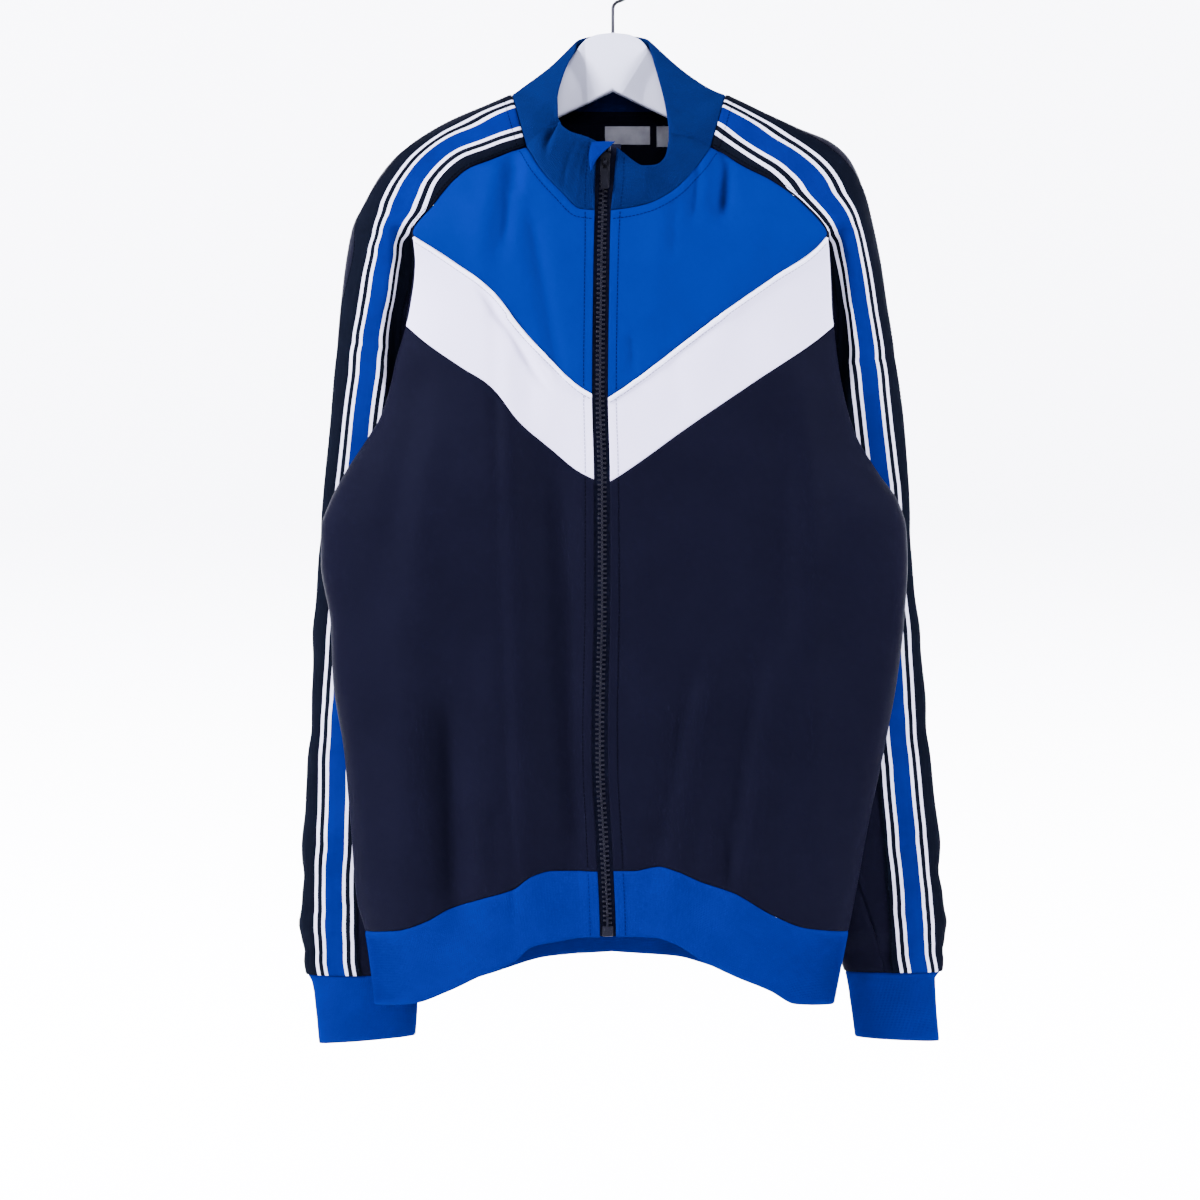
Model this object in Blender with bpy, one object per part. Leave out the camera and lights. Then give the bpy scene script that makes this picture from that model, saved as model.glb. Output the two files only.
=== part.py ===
"""Full-zip track jacket with raglan sleeves, hung flat on a plastic hanger.

Sizes in the tables are millimetres; meshes are in metres with +Z up. The origin is the point
under the hook's arch that a rail carries. The jacket's front faces -Y. Sides are the wearer's:
"right" is at -X and "left" at +X, and a table's column of that name counts outward from X = 0.
Every cloth piece is a closed wall: an outer surface worked out from the tables, and the same
surface moved in by the cloth's thickness along its normals. Pieces that are sewn together share
the points of their seam, less half of SEAM_GAP each.
"""

import math

import bpy
import numpy as np

MM = 0.001
SIDES = {"right": -1.0, "left": 1.0}

# Cloth
KNIT = 1.0  # tricot of the fronts, back and sleeves
RIB = 2.0  # doubled rib of the collar, cuffs and hem band
TRIM = 0.8  # woven stripe tape, zip tape, piping, labels
SEAM_GAP = 0.3  # between pieces that are sewn together
SEAM_SINK = 0.2  # of each side of a raglan or side seam below its face
LAID_GAP = 0.3  # under a piece that lies on another
NECK_LAY = 0.6  # under the tape and labels at the back of the neck

# Zip
ZIP_OPENING = 6.5  # from the zip's middle to each front's edge
ZIP_TAPE_REACH = 11.0  # from the zip's middle to the tape's hidden edge
CHAIN_WIDTH = 6.6
CHAIN_THICK = 2.6
ZIP_TOP = -161.0
ZIP_FOOT = -790.0

# Slider and pull
SLIDER_WIDTH = 9.0
SLIDER_TOP = -167.0
SLIDER_FOOT = -181.0
SLIDER_THICK = 4.6
HINGE_Z = -175.5
BRIDGE_OUT = 2.9  # outer radius of the bridge's arch
BRIDGE_HOLE = 1.5
BRIDGE_WIDTH = 2.4
BRIDGE_ROOT = 0.8  # how deep the bridge's feet go into the slider's body
HINGE_RISE = 1.6  # from the slider's face to the pull's axis
PULL_BAR = 1.5
PULL_EYE = 3.8  # clear width between the pull's arms
PULL_WIDTH = 7.4
PULL_LENGTH = 21.5
PULL_THICK = 1.6

# Hanger
HOOK_ROD = 2.8
HOOK_RADIUS = 20.0  # of the arch, to the rod's middle
HOOK_BEND = ((0, -46), (0.9, -43), (3.2, -40.2), (7, -37.8))  # x, z from the stem to the arch
HANGER_TOP = -64.3


def table(names, *rows):
    """Columns by name, from one row for each section."""
    return dict(zip(names.split(), np.array(rows, float).T))


# The jacket's outline and depths, a row for each height.
EDGE = table(  # where the front turns under at the side; down to -296 this is the raglan seam
    "z right left",
    (-160, 69.6, 78.5),
    (-165, 85, 87),
    (-170, 97, 95),
    (-177, 115, 107),
    (-186, 126.5, 125),
    (-206, 143, 152),
    (-230, 160, 171),
    (-250, 158.5, 173.5),
    (-296, 165, 177),
    (-330, 174.7, 181),
    (-352, 179.7, 185),
    (-376, 187.8, 191),
    (-391, 197, 196.5),
    (-420, 216, 214),
    (-445, 229, 231),
    (-466, 235.7, 237),
    (-492, 235.7, 238),
    (-541, 228, 235),
    (-587, 226, 229.5),
    (-646, 217, 218.5),
    (-700, 212, 207),
    (-765, 206.6, 195),
    (-790, 200, 190),
    (-849, 192, 178.5),
)
FOLD_TOP = -296.0  # below it the front folds over, and the raglan seam is hidden behind
UNDERARM = -430.0
FRONT = table(  # y of the front at the zip and at its edge, how far the edge rolls, roll behind
    "z middle edge roll behind",
    (-160, -46, -28, 1, 0),
    (-177, -46, -30, 1, 0),
    (-206, -46, -32, 1, 0),
    (-232, -47.5, -33, 1, 0),
    (-260, -49, -27, 0.95, 1),
    (-296, -50, -18.5, 0.8, 3),
    (-330, -50, -15, 0.58, 8),
    (-376, -50, -11, 0.5, 9.5),
    (-430, -50, -8.7, 0.5, 12),
    (-466, -50, -8, 0.5, 11.5),
    (-740, -50, -8, 0.5, 11.5),
    (-850, -48, -8, 0.5, 11.5),
)
FRONT_CROWN = 2.6  # power of the front's crown
BEHIND_CROWN = 6.0  # power of the flatter turn behind the side fold
HIDDEN_SEAM = table(  # the raglan seam below -296, then the side seam, behind the side fold
    "z right left",
    (-296, 165, 177),
    (-325, 166, 175),
    (-375, 162, 168),
    (-430, 152, 156),
    (-600, 155, 158),
    (-850, 160, 158),
)
ZIP = table(  # the zip's middle and its tape's outer face
    "z x y",
    (-160, -4.5, -45.2),
    (-176, -6.5, -44.6),
    (-205, -8, -42.4),
    (-225, -8.6, -43.8),
    (-260, -9.3, -46.4),
    (-360, -10.4, -47.5),
    (-428, -8.6, -47.5),
    (-602, -7.2, -47.5),
    (-729, -5.4, -47.5),
    (-745, -5.2, -46.6),
    (-800, -4.5, -45.8),
)
BACK_MIDDLE = table(
    "z y",
    (-121, 34),
    (-180, 36),
    (-232, 34),
    (-288, 29),
    (-325, 18),
    (-375, 8),
    (-430, 3.5),
    (-470, 3),
    (-850, 3),
)
BACK_CROWN = 2.2

# Lines sewn across the front, a row for each point along X.
NECKLINE = {
    "right": table("x z", (14.6, -213), (25.5, -212), (40, -199.5), (57.4, -180.4), (69.6, -160)),
    "left": table("x z", (-1.5, -213), (7, -212), (25, -208.5), (43.4, -200), (64.4, -180.3), (78.5, -160)),
}
CHEVRON_TOP = {
    "right": table("x z", (10, -363), (27.4, -352.7), (48.6, -332.8), (73.2, -305.8), (95.5, -277.2),
                   (126.8, -253.3), (160, -231.5)),
    "left": table("x z", (-6, -363.5), (9.5, -353.5), (59.6, -315.3), (93, -290), (127, -266),
                  (162.6, -241.4), (171.3, -231.5)),
}
CHEVRON_FOOT = {
    "right": table("x z", (10, -429.5), (27.4, -421), (48.6, -403.6), (73.2, -382.6), (98.6, -352),
                   (119.7, -338.4), (150, -317), (166, -303)),
    "left": table("x z", (-6, -431), (5.5, -424), (23.8, -411.5), (53.2, -390), (110, -351),
                  (162.6, -315.3), (177.6, -303)),
}
HEM_SEAM = {
    "right": table("x z", (8, -738.5), (49, -738), (64, -742), (80, -753), (106, -761), (132, -770),
                   (148, -779), (171, -787), (200, -790)),
    "left": table("x z", (-1, -738), (16, -738), (36, -734.6), (52, -739), (70, -747), (96, -756),
                  (127, -774), (153.5, -785), (190, -790)),
    "back": table("x z", (0, -756), (50, -760), (100, -771), (165, -787), (200, -790)),
}
HEM_FOOT = {
    "right": table("x z", (8, -790.5), (21, -790.6), (44, -794), (64, -798), (80, -811), (98, -818.5),
                   (132, -835), (158, -845), (192, -849)),
    "left": table("x z", (-1, -790), (31, -790.6), (49, -796), (70, -809), (96, -822), (125, -834.5),
                  (146, -846), (178.5, -848.5)),
    "back": table("x z", (0, -807.5), (50, -811.5), (100, -826), (165, -846), (192, -849)),
}

# Raglan sleeve. A row runs from the front seam over the ridge, the sleeve's outer fold, to the
# back seam; turn is the angle between ridge and seam, round the flattened tube.
SHOULDER = {
    "right": table(
        "ridge_x ridge_y ridge_z seam_z back_x back_y back_z turn_front turn_back",
        (82, 0, -114, -160, 75, 24, -122, 85, 85),
        (102, 0, -123, -165.5, 90, 28, -135, 84, 84),
        (127, 0, -133.5, -173, 106, 31, -147, 82, 84),
        (152, 0, -147, -181.5, 121, 33, -160, 80, 84),
        (172, 0, -160.5, -192, 133, 34, -175, 80, 84),
        (189, 0, -180, -207, 144, 34, -192, 80, 84),
        (202, 0, -203, -221, 152, 34, -210, 80, 86),
        (210.5, 1, -220, -231.5, 156, 33, -228, 82, 90),
        (216, 3, -245, -256, 156, 30, -252, 86, 100),
        (221.5, 6, -288, -303, 150, 23, -290, 94, 125),
        (225, 10, -325, -333, 138, 12, -325, 99, 174),
        (229, 14.5, -375, -376, 142, 3.4, -375, 102, 235),
        (235, 18, -430, -430, 152, 2.7, -430, 102, 258),
    ),
    "left": table(
        "ridge_x ridge_y ridge_z seam_z back_x back_y back_z turn_front turn_back",
        (91.4, 0, -114, -160, 80, 24, -122, 85, 85),
        (108, 0, -121.5, -166.5, 93, 28, -135, 84, 84),
        (128, 0, -130.5, -175, 108, 31, -147, 82, 84),
        (152, 0, -141.5, -183, 123, 33, -160, 80, 84),
        (175, 0, -151, -192.5, 136, 34, -175, 80, 84),
        (191, 0, -165, -204, 148, 34, -190, 80, 84),
        (202, 0, -188, -217, 157, 34, -208, 80, 86),
        (209.5, 1, -218, -231.5, 162, 33, -228, 82, 90),
        (216, 3, -248, -256, 162, 30, -252, 86, 100),
        (222.5, 6, -288, -303, 156, 23, -290, 94, 125),
        (229, 10, -325, -333, 144, 12, -325, 99, 174),
        (236, 14.5, -375, -376, 147, 3.4, -375, 102, 235),
        (241, 18, -430, -430, 156, 2.7, -430, 102, 258),
    ),
}
ARM = {  # the closed tube: its outer and inner folds, its middle and half depth
    "right": table(
        "z outer inner y half",
        (-430, 235, 98.6, 18, 15.6),
        (-490, 240, 76, 23, 15.5),
        (-541, 242, 82, 22.5, 16),
        (-600, 245, 94, 22.5, 16),
        (-650, 248, 106, 22.5, 16),
        (-710, 251, 121, 22, 15.5),
        (-770, 253.2, 139, 22, 14.5),
        (-813, 252.4, 152, 22, 13.5),
        (-828.5, 249.8, 156, 22, 13),
    ),
    "left": table(
        "z outer inner y half",
        (-430, 241, 100.2, 18, 15.6),
        (-490, 244, 82, 23, 15.5),
        (-541, 248, 90, 22.5, 16),
        (-600, 254.5, 104, 22.5, 16),
        (-650, 259, 120, 22.5, 16),
        (-712, 264.3, 140, 22, 15.5),
        (-770, 269, 163, 22, 14.5),
        (-807, 270.6, 182, 22, 13.5),
        (-826, 268.8, 189, 22, 13),
    ),
}
CUFF_TILT = {"right": -0.085, "left": -0.05}  # the foot's slope down to the outer side
UNDERARM_TURN = 102.0  # where the sleeve's own seam runs down the tube
CUFF = {
    "right": table(
        "drop outer inner y half",
        (0, 249.4, 157, 22, 12.6),
        (5, 246, 159, 22, 12.2),
        (28, 242.5, 159.6, 22, 11.8),
        (53, 240, 161, 22, 11.4),
    ),
    "left": table(
        "drop outer inner y half",
        (0, 268, 189.6, 22, 12.6),
        (5, 263.5, 191, 22, 12.2),
        (28, 264.5, 194.5, 22, 11.8),
        (55, 267, 198, 22, 11.4),
    ),
}

# Striped tape, from the neck to the cuff on the front of each sleeve.
TAPE_WIDTH = 54.0
TAPE_SEAM = table("z clear", (-240, 1.2), (-290, 6), (-830, 6))  # from its edge to the seam
TAPE_REACH = table(  # the most that its front edge lies from the ridge, round the sleeve
    "z reach", (-232, 80), (-296, 65), (-325, 58), (-375, 53), (-430, 51), (-541, 50), (-830, 50)
)

# Piping on the chevron's upper edge.
PIPING_WIDTH = 4.4
PIPING_THICK = 1.5

# Collar: its rim, from the right front edge round the back to the left one. At the whole steps
# it stands over 0 the zip, 1 the front raglan seam, 2 the ridge, 3 the back seam, 4 mid back.
RIM = table(
    "step x y z",
    (0, -12, -48, -159),
    (0.25, -18, -47.5, -156),
    (0.5, -25.5, -46.5, -153),
    (0.75, -35, -44, -149.5),
    (1, -43.5, -37, -140),
    (1.5, -44.5, -27, -121),
    (2, -37, -18, -92),
    (2.5, -31, -9, -78),
    (3, -29, 1, -69.5),
    (3.4, -22, 13, -64.5),
    (4, 0, 20, -61),
    (4.6, 22, 13, -64),
    (5, 29, 1, -69),
    (5.5, 31, -12, -80),
    (6, 36, -22, -101),
    (6.5, 42, -30, -128),
    (7, 44.5, -37, -150),
    (7.25, 42, -42, -168),
    (7.5, 34, -45.5, -176.5),
    (7.75, 24, -47, -177.5),
    (8, 3, -48, -163.5),
)
COLLAR_BULGE = 3.0
ZIP_GARAGE = table(  # the corner of cloth folded over the top of the zip
    "z inner_x outer_x y_inner y_outer",
    (-159.5, 1.5, -17, -54.5, -51.5),
    (-165, -4, -18.5, -57, -51.5),
    (-171, -10.5, -19.5, -56.5, -51),
    (-177, -14.5, -19, -54, -52),
    (-182.5, -16.6, -18.4, -52.4, -52),
)

# Labels and tape inside the back of the neck.
NECK_TAPE = (-124, -132)  # its top and foot
LABELS = {  # left and right edges, top and foot
    "label_main": (-6.3, 30.7, -134, -149),
    "label_size": (36, 47, -134, -151),
}

# Hanger, a row for each section out from its middle.
HANGER = table(
    "x top foot half_y",
    (0, -64.3, -110.6, 7),
    (12, -65.6, -116.4, 7),
    (22, -70, -121.2, 7),
    (28, -76.5, -124, 7),
    (36, -86.5, -127.8, 7),
    (46, -94.5, -132.6, 7),
    (58, -105.2, -139, 6.8),
    (70, -116.6, -145.5, 6.4),
    (82, -119.6, -150.5, 6.2),
    (104, -126.1, -159, 6),
    (128, -136.3, -167.5, 6),
    (152, -149.9, -178, 6),
    (172, -164.8, -190, 6),
    (188, -184.7, -203, 5.6),
    (196.5, -203, -212, 5),
    (200, -214, -216.5, 4),
)
HANGER_BEVEL = 2.6
FACET_SLOPE = 0.16  # how fast the head's side facets lean back
FACET_EDGE = table("z x", (-64, 30), (-75, 27), (-95, 14), (-111, 5))

# Broad folds of the front, a row each: its line, half width and depth (+ stands forward).
FRONT_FOLDS = table(
    "x0 z0 x1 z1 width depth",
    (-142, -380, -146, -640, 17, 5.5),
    (-84, -395, -90, -600, 15, -4),
    (-72, -420, -64, -720, 8, 4.5),
    (-128, -610, -108, -760, 14, -6),
    (-104, -690, -92, -750, 8, 3.5),
    (56, -470, 52, -690, 16, -3.5),
    (80, -560, 40, -735, 9, 4),
    (132, -560, 102, -745, 11, 4.5),
    (150, -420, 158, -700, 18, 5),
    (98, -660, 84, -752, 8, -3.5),
    (-60, -160, -48, -232, 8, -3.5),
    (82, -160, 96, -232, 9, -3.5),
    (-100, -200, -70, -330, 14, 2.5),
    (120, -210, 78, -330, 15, 2.5),
)
BACK_FOLDS = table(
    "x0 z0 x1 z1 width depth",
    (-52, -300, -60, -720, 16, 3.5),
    (48, -330, 58, -740, 14, 3.5),
    (0, -420, 8, -700, 20, -3),
    (-20, -560, -34, -750, 10, 2.5),
    (28, -600, 24, -745, 9, -2.5),
)
SLEEVE_FOLDS = table(  # across the sleeve, by height: half width, depth and slant
    "z width depth slant",
    (-352, 12, -1.6, 0.35),
    (-402, 16, 1.6, 0.3),
    (-478, 15, -2.2, 0.25),
    (-560, 18, 1.8, 0.3),
    (-640, 14, -1.8, 0.2),
    (-706, 15, 1.8, -0.2),
    (-756, 10, -1.6, 0.15),
    (-792, 8, 2.2, 0.1),
    (-812, 6, -1.8, 0.05),
)

COLOURS = {  # base colour, roughness, metallic
    "navy": ((0.011, 0.014, 0.036, 1), 0.6, 0),
    "royal": ((0.002, 0.092, 0.46, 1), 0.5, 0),
    "rib_blue": ((0.004, 0.095, 0.44, 1), 0.75, 0),
    "white": ((0.78, 0.77, 0.86, 1), 0.55, 0),
    "stripe": ((0.02, 0.05, 0.3, 1), 0.6, 0),
    "black": ((0.012, 0.013, 0.018, 1), 0.5, 0),
    "black_metal": ((0.02, 0.02, 0.025, 1), 0.35, 0.6),
    "label": ((0.5, 0.5, 0.52, 1), 0.5, 0),
    "plastic": ((0.72, 0.72, 0.76, 1), 0.35, 0),
    "steel": ((0.12, 0.12, 0.13, 1), 0.35, 1),
}


def smooth(at, knots, values):
    """Cubic pieces through the knots, with harmonic slopes so that nothing overshoots."""
    order = np.argsort(knots)
    x, y = knots[order], values[order]
    step = np.diff(x)
    rise = np.diff(y) / step
    before, after = rise[:-1], rise[1:]
    one_way = before * after > 0
    weight_a, weight_b = 2 * step[1:] + step[:-1], step[1:] + 2 * step[:-1]
    safe_a, safe_b = np.where(one_way, before, 1), np.where(one_way, after, 1)
    inside = np.where(one_way, (weight_a + weight_b) / (weight_a / safe_a + weight_b / safe_b), 0)
    slope = np.concatenate([rise[:1], inside, rise[-1:]])
    at = np.clip(at, x[0], x[-1])
    i = np.clip(np.searchsorted(x, at) - 1, 0, len(x) - 2)
    t = (at - x[i]) / step[i]
    hold = (1 + 2 * t) * (1 - t) ** 2 * y[i] + t * t * (3 - 2 * t) * y[i + 1]
    lean = t * (1 - t) ** 2 * slope[i] - t * t * (1 - t) * slope[i + 1]
    return hold + step[i] * lean


def read(rows, name, at, key="z"):
    """A table's column at any value of its key."""
    return smooth(np.asarray(at, float), rows[key], rows[name])


def unit(v):
    return v / np.maximum(np.linalg.norm(v, axis=-1, keepdims=True), 1e-9)


def folds(rows, x, z):
    """Soft ridges and troughs: each is a bell across its line, fading out past both ends."""
    lift = np.zeros(np.broadcast(x, z).shape)
    for x0, z0, x1, z1, width, depth in zip(*(rows[k] for k in "x0 z0 x1 z1 width depth".split())):
        along = (z - z0) / (z1 - z0)
        across = x - (x0 + (x1 - x0) * np.clip(along, -0.3, 1.3))
        ends = np.clip(np.minimum(along + 0.3, 1.3 - along) / 0.45, 0, 1)
        lift += depth * np.exp(-((across / width) ** 2)) * ends * ends * (3 - 2 * ends)
    return lift


# ---------------------------------------------------------------- front and back surfaces


def edge_x(side, z):
    return SIDES[side] * read(EDGE, side, z)


def zip_x(z):
    return read(ZIP, "x", z)


def front_y(side, x, z):
    """The front at (x, z): crowned from the zip to its edge, with its folds."""
    share = np.clip((x - zip_x(z)) / (edge_x(side, z) - zip_x(z)), 0, 1)
    middle, edge = read(FRONT, "middle", z), read(FRONT, "edge", z)
    crown = (1 - share**FRONT_CROWN) ** read(FRONT, "roll", z)
    return edge - (edge - middle) * crown - folds(FRONT_FOLDS, x, z) * (1 - share**8)


def seam_share(side, z):
    """How far round the side fold the hidden seam lies, as sine of the turn past the fold."""
    seam = SIDES[side] * read(HIDDEN_SEAM, side, z)
    share = (seam - zip_x(z)) / (edge_x(side, z) - zip_x(z))
    return np.where(z > FOLD_TOP, 1.0, np.clip(share, 0.3, 1.0))


def front_turn(side, across, z):
    """The turn at a share across the front, 0 at the zip's edge and 1 at the seam behind."""
    start = np.arcsin(ZIP_OPENING / np.abs(edge_x(side, z) - zip_x(z)))
    end = math.pi - np.arcsin(seam_share(side, z))
    return start + (end - start) * across


def front_point(side, turn, z):
    """The front panel's point: a quarter turn reaches the side fold, more goes behind it."""
    reach = edge_x(side, z) - zip_x(z)
    x = zip_x(z) + reach * np.sin(turn)
    behind = turn > math.pi / 2
    share = np.clip(np.sin(turn), 0, 1)
    back = read(FRONT, "edge", z) + read(FRONT, "behind", z) * np.sqrt(1 - share**BEHIND_CROWN)
    return np.stack([x, np.where(behind, back, front_y(side, x, z)), z + 0 * x], axis=-1)


def crossing(side, line, across):
    """Where a line sewn across the front meets each share across it, found by bisection."""
    high, low = np.full(across.shape, -150.0), np.full(across.shape, -860.0)
    for _ in range(40):
        z = (high + low) / 2
        turn = front_turn(side, across, z)
        x = zip_x(z) + (edge_x(side, z) - zip_x(z)) * np.sin(turn)
        x = np.where(turn > math.pi / 2, edge_x(side, z), x)
        target = read(line, "z", SIDES[side] * x, key="x")
        above = z > target
        high, low = np.where(above, z, high), np.where(above, low, z)
    return (high + low) / 2


def hem_z(side, lines, across):
    """The hem line's height round a front: its own table in front, the back's behind the fold."""
    front = crossing(side, lines[side], across)
    turn = front_turn(side, across, front)
    x = zip_x(front) + (edge_x(side, front) - zip_x(front)) * np.sin(turn)
    behind = read(lines["back"], "z", np.abs(x), key="x")
    return np.where(turn > math.pi / 2, behind, front)


# ---------------------------------------------------------------- sleeve surface


def sleeve_rows(side):
    """Where the sleeve's rows lie: counts of rows down to each corner of the front's pieces."""
    shoulder = np.arange(8.0)
    chevron = np.array([7.5, 8.0, 8.5])
    armhole = np.linspace(9, 12, 7)
    arm = np.array([-452, -485, -525, -570, -620, -670, -718, -758, -786, -804, ARM[side]["z"][-1]])
    return np.concatenate([shoulder, chevron, armhole]), arm


YOKE_ROWS, CHEVRON_ROWS, ARMHOLE_ROWS = 7, 11, 17  # last row of each in sleeve_rows


def sleeve_row(side, station=None, height=None):
    """One row's ridge, inward reaches, turns and depths, from the shoulder or the arm table."""
    if station is not None:
        rows = {k: smooth(np.array(float(station)), np.arange(13.0), v) for k, v in SHOULDER[side].items()}
        seam_z = rows["seam_z"]
        seam = front_point(side, front_turn(side, 1.0, seam_z), seam_z) * [SIDES[side], 1, 1]
        front, back = math.radians(rows["turn_front"]), math.radians(rows["turn_back"])
        ridge = np.array([rows["ridge_x"], rows["ridge_y"], rows["ridge_z"]])
        to_front = np.array([seam[0] - ridge[0], 0, seam_z - ridge[2]]) / (1 - math.cos(front))
        to_back = np.array([rows["back_x"] - ridge[0], 0, rows["back_z"] - ridge[2]])
        to_back = to_back / (1 - math.cos(back))
        depth_front = (ridge[1] - seam[1]) / math.sin(front)
        full = smooth(np.array(float(station)), np.array([7.0, 8, 9, 10, 11, 12]),
                      np.array([33.0, 29, 23, 18, 15.5, depth_front]))
        depth_back = (rows["back_y"] - ridge[1]) / math.sin(back) if station < 8 else full
        return ridge, to_front, to_back, front, back, depth_front, float(depth_back)
    rows = {k: read(ARM[side], k, height) for k in ("outer", "inner", "y", "half")}
    ridge = np.array([rows["outer"], rows["y"], height])
    inward = np.array([(rows["inner"] - rows["outer"]) / 2, 0, 0])
    front = math.radians(UNDERARM_TURN)
    return ridge, inward, inward, front, 2 * math.pi - front, rows["half"], rows["half"]


def sleeve_point(row, turn):
    """A row's points at these turns, + in front of the ridge and - behind it."""
    ridge, to_front, to_back, _, _, depth_front, depth_back = row
    ahead = (turn >= 0)[:, None]
    inward = np.where(ahead, to_front, to_back) * (1 - np.cos(turn))[:, None]
    y = -np.where(turn >= 0, depth_front, depth_back) * np.sin(turn)
    point = ridge + inward
    point[:, 1] += y
    return point


BACK_STEPS = 9


def sleeve_turns(row):
    """The turns of a row's columns: seam, tape's edges and inside, ridge, then the back."""
    front, back = row[3], row[4]
    fine = np.linspace(0, front, 200)
    points = sleeve_point(row, fine)
    arc = np.concatenate([[0], np.cumsum(np.linalg.norm(np.diff(points, axis=0), axis=1))])
    clear = read(TAPE_SEAM, "clear", row[0][2])
    reach = min(arc[-1] - float(clear), float(read(TAPE_REACH, "reach", row[0][2])))
    marks = np.concatenate([[arc[-1], (arc[-1] + reach) / 2], reach - TAPE_WIDTH * np.arange(4) / 4])
    past = (reach - TAPE_WIDTH, 0.0)
    if reach - TAPE_WIDTH < 2:
        marks[2:] = reach * (1 - np.arange(4) / 3)
        past = (min(reach - TAPE_WIDTH, -3.0), min(reach - TAPE_WIDTH, -3.0) - 8)
    behind = np.linspace(0, -back, 200)
    points = sleeve_point(row, np.minimum(behind, -1e-9))
    arc_back = -np.concatenate([[0], np.cumsum(np.linalg.norm(np.diff(points, axis=0), axis=1))])
    both, turns = np.concatenate([arc_back[:0:-1], arc]), np.concatenate([behind[:0:-1], fine])
    turns = np.interp(np.concatenate([marks, past]), both, turns)
    rest = turns[-1] + (-back - turns[-1]) * np.arange(1, BACK_STEPS + 1) / BACK_STEPS
    return np.concatenate([turns, rest])


TAPE_COLUMNS = slice(2, 7)


def sleeve_folds(point, normal):
    """Soft rings round the lower sleeve, slanted, moved along the normals."""
    lift = np.zeros(point.shape[:-1])
    for z, width, depth, slant in zip(*(SLEEVE_FOLDS[k] for k in ("z", "width", "depth", "slant"))):
        across = point[..., 2] - z - slant * (np.abs(point[..., 0]) - 200)
        lift += depth * np.exp(-((across / width) ** 2))
    return point + normal * lift[..., None]


def sleeve(side):
    """The sleeve's outer grid, rows from neck to cuff, and its normals."""
    stations, heights = sleeve_rows(side)
    rows = [sleeve_row(side, station=s) for s in stations]
    rows += [sleeve_row(side, height=h) for h in heights]
    grid = np.array([sleeve_point(row, sleeve_turns(row)) for row in rows])
    grid[..., 0] *= SIDES[side]
    normal = normals(grid, outward=grid - sleeve_core(grid))
    below = np.clip((-440 - grid[..., 2:3]) / 60, 0, 1) * np.clip((grid[..., 2:3] + 826) / 12, 0, 1)
    moved = sleeve_folds(grid, normal)
    grid = grid + (moved - grid) * below
    return grid, normals(grid, outward=grid - sleeve_core(grid))


def sleeve_core(grid):
    """A point inside the sleeve for each row, to tell outward from inward."""
    return grid.mean(axis=1, keepdims=True) + np.array([0, 0, -4.0])


# ---------------------------------------------------------------- meshes


def tangent(grid, axis):
    """The mean direction of the two steps beside each point, along rows (1) or down them (0)."""
    steps = unit(np.diff(grid, axis=axis))
    first, last = np.take(steps, [0], axis=axis), np.take(steps, [-1], axis=axis)
    return np.concatenate([first, steps], axis=axis) + np.concatenate([steps, last], axis=axis)


def normals(grid, outward):
    """Unit normals of a grid of points, on the side that outward points to."""
    normal = unit(np.cross(tangent(grid, 0), tangent(grid, 1)))
    facing = (normal * outward).sum(axis=-1)
    return normal if facing.sum() > 0 else -normal


def add_mesh(name, points, faces, colour):
    """A named object from millimetre points, with its faces turned outward."""
    points = np.asarray(points) * MM
    tris = [(f[0], f[i], f[i + 1]) for f in faces for i in range(1, len(f) - 1)]
    corner = points[np.array(tris)]
    volume = (corner[:, 0] * np.cross(corner[:, 1], corner[:, 2])).sum()
    if volume < 0:
        tris = [t[::-1] for t in tris]
    mesh = bpy.data.meshes.new(name)
    mesh.from_pydata(points.tolist(), [], tris)
    mesh.update()
    body = bpy.data.objects.new(name, mesh)
    bpy.context.collection.objects.link(body)
    mesh.materials.append(finish(name, colour))
    mesh.shade_smooth()
    mesh.set_sharp_from_angle(angle=math.radians(40))
    return body


def finish(name, colour):
    base, roughness, metallic = COLOURS[colour]
    material = bpy.data.materials.new(f"{name}_{colour}")
    material.use_nodes = True
    shader = material.node_tree.nodes["Principled BSDF"]
    shader.inputs["Base Color"].default_value = base
    shader.inputs["Roughness"].default_value = roughness
    shader.inputs["Metallic"].default_value = metallic
    return material


def wall(name, outer, inner, colour, welded_from=None):
    """A closed wall between two grids; from the welded row on, its first and last columns meet."""
    rows, columns = outer.shape[:2]
    first = np.arange(rows * columns).reshape(rows, columns)
    second = first + rows * columns
    welded_from = rows if welded_from is None else welded_from
    for index in (first, second):
        index[welded_from:, -1] = index[welded_from:, 0]
    faces = []
    for i in range(rows - 1):
        for j in range(columns - 1):
            a, b, c, d = (i, j), (i, j + 1), (i + 1, j + 1), (i + 1, j)
            faces.append([first[k] for k in (a, b, c, d)])
            faces.append([second[k] for k in (a, d, c, b)])
    for j in range(columns - 1):
        faces.append([first[0, j + 1], first[0, j], second[0, j], second[0, j + 1]])
        faces.append([first[-1, j], first[-1, j + 1], second[-1, j + 1], second[-1, j]])
    for i in range(min(rows - 1, welded_from)):
        faces.append([first[i, 0], first[i + 1, 0], second[i + 1, 0], second[i, 0]])
        faces.append([first[i + 1, -1], first[i, -1], second[i, -1], second[i + 1, -1]])
    points = np.concatenate([outer.reshape(-1, 3), inner.reshape(-1, 3)])
    used, faces = compact(faces)
    return add_mesh(name, points[used], faces, colour)


def compact(faces):
    """Only the points that faces use, and the faces in their numbers."""
    used = sorted({k for face in faces for k in face})
    number = {k: i for i, k in enumerate(used)}
    return used, [[number[k] for k in face] for face in faces]


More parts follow.
